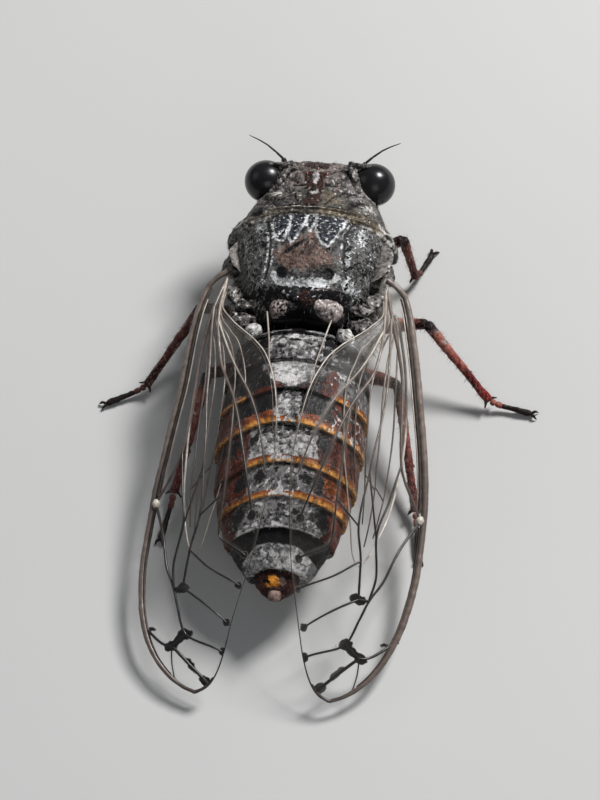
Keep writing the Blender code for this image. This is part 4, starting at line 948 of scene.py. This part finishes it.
def beside(edge, inset, start, end, count):
    """Stops in plan beside an edge of a wing."""
    return [(edge(y) + inset, y) for y in np.linspace(start, end, count)]


def spaced(path, step):
    """Points a step apart along a smooth curve through a path."""
    path = np.array(path, float)
    length = np.concatenate(([0], np.cumsum(np.linalg.norm(np.diff(path, axis=0), axis=1))))
    at = np.linspace(0, length[-1], max(2, round(length[-1] / step) + 1))
    return np.stack([smooth(list(zip(length, path[:, k])))(at) for k in range(path.shape[1])], axis=1)


def slopes(height, x, y, near):
    return ((height(x + near, y) - height(x - near, y)) / (2 * near),
            (height(x, y + near) - height(x, y - near)) / (2 * near))


def film(name, inner, outer, height, side, start, end, solids, marks_at, columns, count):
    """A closed thin film over a plan, with the same grid on both faces."""
    turn = np.linspace(0, math.pi, count)
    ys = start + (end - start) * (0.35 * (1 - np.cos(turn)) / 2 + 0.65 * turn / math.pi)
    x = inner(ys)[:, None] + (outer(ys) - inner(ys))[:, None] * np.linspace(0, 1, columns)
    y = ys[:, None] + 0 * x
    x = side * (x + lean(y, side))
    middle = np.stack([x, y, height(x, y)], axis=2)
    slope_x, slope_y = slopes(height, x, y, 0.02)
    normal = np.stack([-slope_x, -slope_y, np.ones_like(x)], axis=2)
    normal /= np.linalg.norm(normal, axis=2)[..., None]
    marks, lift = marks_at(side * x - lean(y, side), y)
    middle = middle + normal * lift[..., None]
    rows = np.concatenate([middle + normal * FILM / 2, (middle - normal * FILM / 2)[:, ::-1]], axis=1)
    marks = {kind: np.concatenate([field, field[:, ::-1]], axis=1) for kind, field in marks.items()}
    made = skin(name, rows, wing_film, "wing_membrane", solids, marks)
    form = bmesh.new()
    form.from_mesh(made.data)
    bmesh.ops.recalc_face_normals(form, faces=form.faces)
    form.to_mesh(made.data)
    form.free()


tree, shader, wing_film = finish_of("wing_film")
cloud = clouds(tree, 500.0, 3.0)
crease = clouds(tree, 2500.0, 3.0, Distortion=0.5)
spot, smoke = (add(tree, "Attribute", attribute_name=kind).outputs["Fac"] for kind in ("spot", "smoke"))
dark = ranged(tree, maths(tree, "MULTIPLY_ADD", crease, 0.3, spot), 0.13, 0.19, soft=True)
tint = blended(tree, cloud, (0.30, 0.29, 0.27), (0.42, 0.38, 0.33))
tint = blended(tree, smoke, tint, (0.12, 0.115, 0.095))
veil = maths(tree, "MULTIPLY_ADD", smoke, 0.25, ranged(tree, cloud, 0.3, 0.7, 0.004, 0.02))
fill(shader, {"Base Color": blended(tree, dark, tint, (0.012, 0.009, 0.008)),
              "Alpha": maths(tree, "MAXIMUM", veil, dark),
              "Roughness": ranged(tree, crease, 0.3, 0.7, 0.22, 0.4),
              "Normal": relief(tree, crease, 0.00003, 0.5), "Coat Weight": 0.2, "Coat Roughness": 0.15})

DARKEST = 1.3
tree, shader, vein_horn = finish_of("vein_horn")
cloud = clouds(tree, 2500.0, 4.0)
age = add(tree, "Attribute", attribute_name="shade").outputs["Fac"]
shift = maths(tree, "MULTIPLY_ADD", cloud, 0.5, age)
ramp = add(tree, "ValToRGB", {0: maths(tree, "MULTIPLY", shift, 1 / DARKEST)})
for darkness, color in ((0.2, (0.62, 0.57, 0.5, 1)), (0.45, (0.30, 0.25, 0.21, 1)),
                        (0.75, (0.12, 0.09, 0.075, 1)), (1.15, (0.012, 0.009, 0.008, 1))):
    ramp.color_ramp.elements.new(darkness / DARKEST).color = color
for end in (0, -1):
    ramp.color_ramp.elements.remove(ramp.color_ramp.elements[end])
fill(shader, {"Base Color": ramp, "Roughness": ranged(tree, cloud, 0.3, 0.7, 0.25, 0.45),
              "Normal": relief(tree, cloud, 0.00002, 0.7)})


def nodes_of(name, made, source, inputs):
    """An empty geometry node tree, its given values, and the identifiers of its input sockets."""
    tree = bpy.data.node_groups.new(name, "GeometryNodeTree")
    tree.interface.new_socket(source, in_out="INPUT", socket_type="NodeSocketGeometry")
    sockets = {}
    for label, kind in inputs.items():
        socket = tree.interface.new_socket(label, in_out="INPUT", socket_type="NodeSocket" + kind)
        sockets[label] = socket.identifier
    tree.interface.new_socket(made, in_out="OUTPUT", socket_type="NodeSocketGeometry")
    return tree, tree.nodes.new("NodeGroupInput").outputs, sockets


def geo(tree, kind, values=(), **settings):
    return add(tree, kind, values, "GeometryNode", **settings)


def closing(tree, shape, finish):
    """The end of a tree: real, smooth and in its finish."""
    real = geo(tree, "RealizeInstances", {0: shape})
    shade = geo(tree, "SetShadeSmooth", {0: real})
    done = geo(tree, "SetMaterial", {"Geometry": shade, "Material": finish})
    fill(tree.nodes.new("NodeGroupOutput"), {0: done})


# Round tubes along the edges of a mesh, as thick as its "girth" says
vein_tubes, given, vein_sockets = nodes_of("vein_tubes", "Tubes", "Lines",
                                           {"Sides": "Int", "Finish": "Material"})
girth = geo(vein_tubes, "InputNamedAttribute", {"Name": "girth"}, data_type="FLOAT")
curve = geo(vein_tubes, "MeshToCurve", {"Mesh": given["Lines"]})
ring = geo(vein_tubes, "CurvePrimitiveCircle", {"Resolution": given["Sides"], "Radius": 1.0})
tube = geo(vein_tubes, "CurveToMesh", {"Curve": curve, "Profile Curve": ring, "Scale": girth,
                                       "Fill Caps": True})
closing(vein_tubes, tube, given["Finish"])


def applied(name, source, tree, values, slot):
    """Runs a node tree on a source mesh and keeps its result as a plain finished piece."""
    source = linked(name + "_source", source)
    modifier = source.modifiers.new("tree", "NODES")
    modifier.node_group = tree
    for socket, value in values.items():
        modifier[socket] = value
    bpy.context.view_layer.update()
    mesh = bpy.data.meshes.new_from_object(source.evaluated_get(bpy.context.evaluated_depsgraph_get()))
    bpy.data.objects.remove(source)
    mesh.name = name
    return placed(linked(name, mesh), slot)


def veined(name, strands):
    """Tubes along strands. Each strand has its points, and a radius and shade at each point."""
    points, edges, girth, shade = [], [], [], []
    for line, radius, dark in strands:
        edges += [(i, i + 1) for i in range(len(points), len(points) + len(line) - 1)]
        points += ((line + SHIFT) * MM).tolist()
        girth += (radius * MM).tolist()
        shade += dark.tolist()
    mesh = bpy.data.meshes.new(name)
    mesh.from_pydata(points, edges, [])
    for label, values in (("girth", girth), ("shade", shade)):
        mesh.attributes.new(label, "FLOAT", "POINT").data.foreach_set("value", values)
    applied(name, mesh, vein_tubes, {vein_sockets["Sides"]: VEIN_SIDES, vein_sockets["Finish"]: vein_horn},
            "wing_membrane")


def strand(stops, height, side, widths, shades, rise=0.0):
    """One vein: a smooth path over the film, from stops in the plan of the right wing."""
    line = spaced([JOINTS[stop] if isinstance(stop, str) else stop for stop in stops], VEIN_STEP)
    x, y = side * (line[:, 0] + lean(line[:, 1], side)), line[:, 1]
    share = np.linspace(0, 1, len(line))
    radius, dark = (np.interp(share, np.linspace(0, 1, len(v)), v) for v in (np.array(widths) / 2, shades))
    wobble = rough(np.stack([x, y, 0 * x], axis=1), 0.5, 0.12, 2)
    return np.stack([x, y, height(x, y) + rise], axis=1), radius * (1 + wobble), dark


vein_lines = [spaced([JOINTS[stop] if isinstance(stop, str) else stop for stop in stops], 0.8)
              for stops, widths, shades in VEINS]


def wing_marks(x, y):
    """The spots and the grey tint of a fore wing's film, partly painted shade, and how far it sags between
    veins.
    """
    flat = np.stack([x, y], axis=2)
    near = least(*[from_line(flat, *line) for line in vein_lines], outer_edge(y) - x, x - inner_edge(y))
    # Towards the root the film is darkened and made less clear: partly its own milky grey, partly painted
    # shade standing in for the shadowed body under it.
    smoke = 0.5 * bell(near, 0.1) + 0.5 * unit((y + 4.0) / 6.5) ** 1.5
    sag = -0.06 * unit(near / 0.8) * unit(near / 0.4)
    return {"spot": most(*[patch(flat, *spot) for spot in SPOTS]), "smoke": smoke}, sag


for side, label in ((-1, "left"), (1, "right")):
    def height(x, y):
        return roof(x, y, side)

    strands = [strand(stops, height, side, np.array(widths) * VEIN_WIDTH, shades)
               for stops, widths, shades in VEINS]
    tip = [*((outer_edge(v) - 0.12, v) for v in (-19.9, -20.15, -20.35, -20.5)), (3.55, -20.56),
           *((inner_edge(v) + 0.06, v) for v in (-20.45, -20.2, -19.9))]
    strands.append(strand([(4.75, 4.2), *beside(outer_edge, -0.12, 3.4, -19.7, 60), *tip], height, side,
                          (0.3, 0.44, 0.44, 0.44, 0.42, 0.4, 0.38, 0.3, 0.16),
                          (0.45, 0.4, 0.42, 0.45, 0.6, 0.5, 0.5, 0.5, 0.85), 0.05))
    for *line, widths, shades, rise in RIM_VEINS:
        strands.append(strand(beside(*line), height, side, widths, shades, rise))
    fold_end = (1.2 if side > 0 else 0.8, -4.2, 8.93)
    fold = spaced(((1.95, 0.95, 8.05), (1.6, -1.0, 8.35), (1.35, -2.7, 8.7), fold_end), VEIN_STEP)
    radius, dark = np.linspace(0.055, 0.035, len(fold)), np.linspace(0.15, 0.3, len(fold))
    strands.append((fold * (side, 1, 1), radius, dark))
    knot = [(7.85, -9.35), (7.83, -9.6), (7.8, -9.85)]
    strands.append(strand(knot, height, side, (0.3, 0.52, 0.3), (0.05, 0.05, 0.1), 0.05))
    veined("fore_wing_veins_" + label, strands)
    film("fore_wing_film_" + label, inner_edge, outer_edge, height, side, 4.55, -20.6, ("forewing_" + label,),
         wing_marks, 70, 260)

# Hind wings
# Shorter clear films under the fore wings, beside the abdomen, pleated lengthwise.
hind_outer = smooth([(2.6, 5.3), (1.5, 5.75), (-1.5, 6.35), (-5.0, 6.6), (-8.4, 6.35), (-10.5, 5.93),
                     (-11.9, 5.5), (-13.0, 5.0), (-13.4, 4.62)])
hind_inner = smooth([(2.6, 5.0), (1.5, 4.9), (-1.0, 3.6), (-4.0, 3.1), (-7.0, 3.3), (-9.5, 3.7), (-11.2, 4.0),
                     (-13.0, 4.3), (-13.4, 4.58)])


def hind_place(y, share):
    return hind_inner(y) * (1 - share) + hind_outer(y) * share, y


def hind_marks(x, y):
    smoke = 0.3 * bell(least(hind_outer(y) - x, x - hind_inner(y)), 0.12)
    return {"spot": 0 * x + NOTHING, "smoke": smoke}, 0 * x


for side, label in ((-1, "left"), (1, "right")):
    def height(x, y):
        return roof(x, y, side)

    def hind_height(x, y):
        slope_x, slope_y = slopes(height, x, y, 0.1)
        pleats = 0.06 * np.sin(abs(x) * 9 + y * 0.5)
        return height(x, y) - 0.75 * np.sqrt(1 + slope_x ** 2 + slope_y ** 2) + pleats

    film("hind_wing_film_" + label, hind_inner, hind_outer, hind_height, side, 2.55, -13.38,
         ("hindwing_" + label,), hind_marks, 60, 160)
    paths = [(beside(hind_outer, -0.04, 2.4, -13.3, 60), (0.2, 0.16, 0.14, 0.1), (0.3, 0.3, 0.1, 0.0, 0.1)),
             (beside(hind_inner, 0.04, 2.2, -13.2, 40), (0.1, 0.07), (0.3, 0.2))]
    for share, end in ((0.2, -9.0), (0.4, -11.0), (0.6, -12.2), (0.8, -11.5)):
        stops = [hind_place(v, share) for v in np.linspace(2.0, end, 30)]
        paths.append((stops, (0.13, 0.08), (0.15, 0.5, 0.8)))
    for v, start, end in ((-8.5, 0.4, 0.6), (-8.9, 0.6, 0.8)):
        paths.append(([hind_place(v + 0.3, start), hind_place(v - 0.3, end)], (0.08, 0.08), (0.8, 0.8)))
    veined("hind_wing_veins_" + label, [strand(stops, hind_height, side, *more) for stops, *more in paths])

# Legs
# Six jointed legs. Each has a hip and a thigh, a long shin with spurs at its end, a foot of three
# joints and two claws. The front thighs are swollen and carry teeth from the time underground.
# Root, knee, ankle, claw, thickness of the thigh and how light the horn is. A right-hand leg is lighter
# than its left-hand mate: that difference is painted light, the right side lit and the left in shade.
LEGS = {
    "foreleg_left": ((-2.1, 8.5, 1.4), (-5.0, 9.0, 3.9), (-5.2, 8.5, 0.85), (-4.6, 10.9, 0.22), 0.62, 0.15),
    "foreleg_right": ((2.1, 8.5, 1.4), (5.1, 9.0, 3.95), (5.8, 8.2, 0.85), (6.6, 10.3, 0.22), 0.62, 0.3),
    "midleg_left": ((-2.4, 4.2, 1.4), (-6.5, 3.4, 4.0), (-9.7, -0.4, 0.7), (-12.0, -1.5, 0.22), 0.46, 0.1),
    "midleg_right": ((2.4, 4.2, 1.4), (7.1, 3.1, 4.1), (11.0, 0.0, 0.7), (13.5, -0.4, 0.22), 0.46, 1.0),
    "hindleg_left": ((-2.5, 1.3, 1.4), (-5.7, -0.7, 3.2), (-7.1, -7.6, 0.75), (-7.6, -10.4, 0.22), 0.44, 0.4),
    "hindleg_right": ((2.5, 1.3, 1.4), (5.7, -0.7, 3.2), (7.3, -7.8, 0.75), (7.7, -10.6, 0.22), 0.44, 0.5)}
leg_skins = []


def leg_horn(tone):
    red, lit = (tuple((1 - tone) * a + tone * b for a, b in zip(*ends)) for ends in (
        ((0.035, 0.008, 0.008), (0.22, 0.05, 0.035)), ((0.06, 0.018, 0.015), (0.4, 0.16, 0.12))))
    return horn(f"leg_horn_{round(tone * 100)}", ground=red, mottle=lit, pale=(0.35, 0.27, 0.25),
                warm=(0.04 + 0.14 * tone, 0.008 + 0.01 * tone, 0.007 + 0.006 * tone),
                black=(0.012, 0.006, 0.006), hair=0.25, ragged=0.3, grain=1.3)


def ahead_from(a, b):
    return (b - a) / np.linalg.norm(b - a)


for label, (root, knee, ankle, claw, thick, tone) in LEGS.items():
    root, knee, ankle, claw = np.array((root, knee, ankle, claw))
    bend = root + 0.3 * (knee - root) + (0, 0, -0.22)
    thigh = [limb((root * (0.9, 1, 1) + (0, 0.1, 0.5), root, bend), (0.5, 0.62, 0.42), sides=32),
             limb((root, bend, root + 0.65 * (knee - root), knee), (0.32, 0.46, thick, 0.38, 0.3), sides=32)]
    down = ahead_from(knee, ankle)
    cross = ahead_from(np.zeros(3), np.cross(down, (0, 0, 1)))
    stops = (knee - down * 0.05, knee + 0.5 * (ankle - knee), ankle)
    shin = [limb(stops, (0.32, 0.29, 0.26, 0.24, 0.27), sides=32)]
    for turn in (-1, 1):
        spur = (ankle - down * 0.25, ankle + cross * turn * 0.3 - down * 0.05,
                ankle + cross * turn * 0.5 + down * 0.12)
        shin.append(limb(spur, (0.13, 0.09, 0.02), sides=12))
    if label.startswith("fore"):
        for share, size in ((0.42, 0.5), (0.58, 0.34), (0.72, 0.42)):
            foot = root + share * (knee - root)
            tooth = (foot, foot + (0, 0.06, -0.6 * (thick + size)), foot + (0, 0.1, -thick - size))
            thigh.append(limb(tooth, (0.26, 0.18, 0.04), sides=14))
    else:
        for share, turn in ((0.5, 1), (0.62, -1), (0.75, 1), (0.84, -1)):
            foot = knee + share * (ankle - knee)
            spine = (foot, foot + cross * turn * 0.22 + down * 0.1, foot + cross * turn * 0.32 + down * 0.25)
            shin.append(limb(spine, (0.07, 0.04, 0.012), sides=10))
    ahead = ahead_from(ankle, claw)
    mid = ankle + 0.5 * (claw - ankle)
    mid[2] = 0.26
    foot = []
    for a, b, radii in ((ankle + ahead * 0.05, ankle * 0.72 + mid * 0.28, (0.2, 0.19)),
                        (ankle * 0.72 + mid * 0.28, ankle * 0.4 + mid * 0.6, (0.17, 0.18)),
                        (ankle * 0.42 + mid * 0.58, claw, (0.15, 0.15, 0.19, 0.18))):
        a, b = (np.append(end[:2], max(end[2], 0.2)) for end in (a, b))
        foot.append(limb((a, 0.5 * (a + b), b), radii, sides=20))
    ahead = ahead_from(np.zeros(3), ahead * (1, 1, 0))
    sideways = np.array((-ahead[1], ahead[0], 0))
    for turn in (-1, 1):
        hook = (claw, claw + ahead * 0.2 + sideways * turn * 0.16 + (0, 0, 0.04),
                claw * (1, 1, 0) + ahead * 0.42 + sideways * turn * 0.26 + (0, 0, 0.03))
        foot.append(limb(hook, (0.1, 0.08, 0.02), sides=12))
    finish = leg_horn(tone)
    for joint, grids in (("femur", thigh), ("tibia", shin), ("tarsus", foot)):
        grids = [raised(grid, rough(grid, 0.3, 0.035, 3)) for grid in grids]
        for grid in grids:
            grid[..., 2] = most(grid[..., 2], 0.0)
        along = [np.linspace(0, 1, len(grid))[:, None] for grid in grids]
        dark = {"femur": [along[1] - 0.9 if n == 1 else -0.1 for n in range(len(grids))],
                "tibia": [0.12 - along[0] if n == 0 else 0.1 for n in range(len(grids))],
                "tarsus": [0.1 if n > 1 else -0.05 for n in range(len(grids))]}[joint]
        on_shin = joint == "tibia"
        made = skin(f"{label}_{joint}_skin", grids, finish, "leg_cuticle", (f"{label}_{joint}",), {
            "black": dark, "fur": [1.0] * len(grids),
            "warm": [0.6 * a - 0.34 + rough(grid, 0.3, 0.2, 2, 4.0) - (not on_shin)
                     for a, grid in zip(along, grids)],
            # On the shin the pale mark grows towards its top and fades towards its foot: a painted sheen.
            "pale": [rough(grid, 0.5, 0.5, 2, 9.0) - 0.32 + 0.24 * on_shin * (1 - 2 * a)
                     for a, grid in zip(along, grids)]})
        if joint != "tarsus":
            leg_skins.append(made)

# Hair
# Short silvery hairs lie back over the chest, the sides of the head and the abdomen, and darker
# bristles stand on the legs. Each is a thin bent cone rooted in the horn.
hair_strand = two_toned("hair_strand", 3000.0, 2.0, (0.12, 0.115, 0.105), (0.42, 0.41, 0.39),
                        {"Roughness": 0.4})
leg_bristle = two_toned("leg_bristle", 3000.0, 2.0, (0.05, 0.02, 0.015), (0.4, 0.3, 0.25), {"Roughness": 0.4})

# Bent cones spread over a skin as its "fur" says, all leaning one way
hair_coat, given, coat_sockets = nodes_of("hair_coat", "Coat", "Skin", {
    "Density": "Float", "Length": "Float", "Girth": "Float", "Lean": "Vector", "Lift": "Float",
    "Spread": "Float", "Seed": "Int", "Finish": "Material"})


def scaled(vector, by):
    return add(hair_coat, "VectorMath", {0: vector, "Scale": by}, operation="SCALE")


def added(*vectors):
    return add(hair_coat, "VectorMath", enumerate(vectors), operation="ADD")


def drawn(kind, low, high, values):
    """A random value for each hair."""
    values = {low: values[0], high: values[1], "Seed": given["Seed"]}
    return add(hair_coat, "RandomValue", values, "FunctionNode", data_type=kind)


fur = geo(hair_coat, "InputNamedAttribute", {"Name": "fur"}, data_type="FLOAT")
dense = maths(hair_coat, "MULTIPLY", fur, given["Density"])
roots = geo(hair_coat, "DistributePointsOnFaces", {
    "Mesh": given["Skin"], "Density": dense, "Seed": given["Seed"]}, distribute_method="RANDOM")
marked = geo(hair_coat, "StoreNamedAttribute", {
    "Geometry": roots.outputs["Points"], "Name": "root", "Value": geo(hair_coat, "InputPosition")},
    data_type="FLOAT_VECTOR", domain="POINT")
stray = scaled(drawn("FLOAT_VECTOR", 0, 1, ((-1.0, -1.0, -1.0), (1.0, 1.0, 1.0))), given["Spread"])
ahead = added(added(given["Lean"], scaled(roots.outputs["Normal"], given["Lift"])), stray)
turn = add(hair_coat, "AlignRotationToVector", {"Vector": ahead}, "FunctionNode", axis="Z")
line = geo(hair_coat, "CurveQuadraticBezier", {
    "Resolution": 3, "Start": (0, 0, -0.08), "Middle": (0.12, 0, 0.5), "End": (0, 0, 1.0)})
thin = ranged(hair_coat, geo(hair_coat, "SplineParameter"), 0.0, 1.0, 1.0, 0.12)
thin = maths(hair_coat, "MULTIPLY", thin, given["Girth"])
ring = geo(hair_coat, "CurvePrimitiveCircle", {"Resolution": 3, "Radius": 1.0})
cone = geo(hair_coat, "CurveToMesh", {"Curve": line, "Profile Curve": ring, "Scale": thin, "Fill Caps": True})
size = maths(hair_coat, "MULTIPLY", drawn("FLOAT", 2, 3, (0.55, 1.25)).outputs[1], given["Length"])
hairs = geo(hair_coat, "InstanceOnPoints", {
    "Points": marked, "Instance": cone, "Rotation": turn, "Scale": size})
closing(hair_coat, hairs, given["Finish"])
UNWRAP_AXIS, UNWRAP_BOX, TUFT = 4.8, ((-16.0, 15.0), (-math.pi, math.pi)), 0.003


def coat(name, seed, finish, skins, slot, density, length, girth, lean_to, lift, spread):
    """A coat of hairs. A hair's patch of the OFBake map lies at its root on the unrolled trunk."""
    joined = bmesh.new()
    for part in skins:
        joined.from_mesh(part.data)
    mesh = bpy.data.meshes.new(name + "_skin")
    joined.to_mesh(mesh)
    joined.free()
    values = {"Density": density / MM ** 2, "Length": length * MM, "Girth": girth / length, "Lean": lean_to,
              "Lift": lift, "Spread": spread, "Seed": seed, "Finish": finish}
    values = {coat_sockets[label]: value for label, value in values.items()}
    mesh = applied(name, mesh, hair_coat, values, slot).data
    root, own = np.empty((2, len(mesh.vertices) * 3), np.float32)
    mesh.attributes["root"].data.foreach_get("vector", root)
    mesh.vertices.foreach_get("co", own)
    root, own = root.reshape(-1, 3) / MM - SHIFT, own.reshape(-1, 3) / MM - SHIFT
    turn = np.arctan2(root[:, 0], root[:, 2] - UNWRAP_AXIS)
    (low, high), (left, right) = UNWRAP_BOX
    flat = np.stack([(turn - left) / (right - left), (root[:, 1] - low) / (high - low)], axis=1)
    flat += (own - root)[:, :2] * TUFT / length
    corners = np.empty(len(mesh.loops), np.int32)
    mesh.loops.foreach_get("vertex_index", corners)
    layer = mesh.uv_layers.new(name="OFBake")
    layer.data.foreach_set("uv", np.ascontiguousarray(flat[corners], np.float32).ravel())
    mesh.attributes.remove(mesh.attributes["root"])


# Skins, slot, hairs to the square millimetre, length, girth, lean, lift and spread of each coat
COATS = {
    "chest_hair": ([dome_skin, shield_skin], "grey_cuticle", 34.0, 0.3, 0.01, (0, -1, 0), 0.45, 0.4),
    "head_hair": ([head_skin, brow_skin], "grey_cuticle", 26.0, 0.24, 0.01, (0, 1, 0), 0.7, 0.5),
    "belly_hair": ([belly_skin], "banded_cuticle", 9.0, 0.28, 0.009, (0, -1, 0), 0.35, 0.3),
    "side_hair": ([chest_skin], "brown_cuticle", 30.0, 0.5, 0.012, (0, -0.6, -0.5), 0.6, 0.4),
    "leg_hair": (leg_skins, "leg_cuticle", 20.0, 0.26, 0.011, (0, -0.2, -0.4), 0.8, 0.3)}
for seed, (name, values) in enumerate(COATS.items(), 1):
    coat(name, seed, leg_bristle if name == "leg_hair" else hair_strand, *values)

bpy.context.view_layer.update()
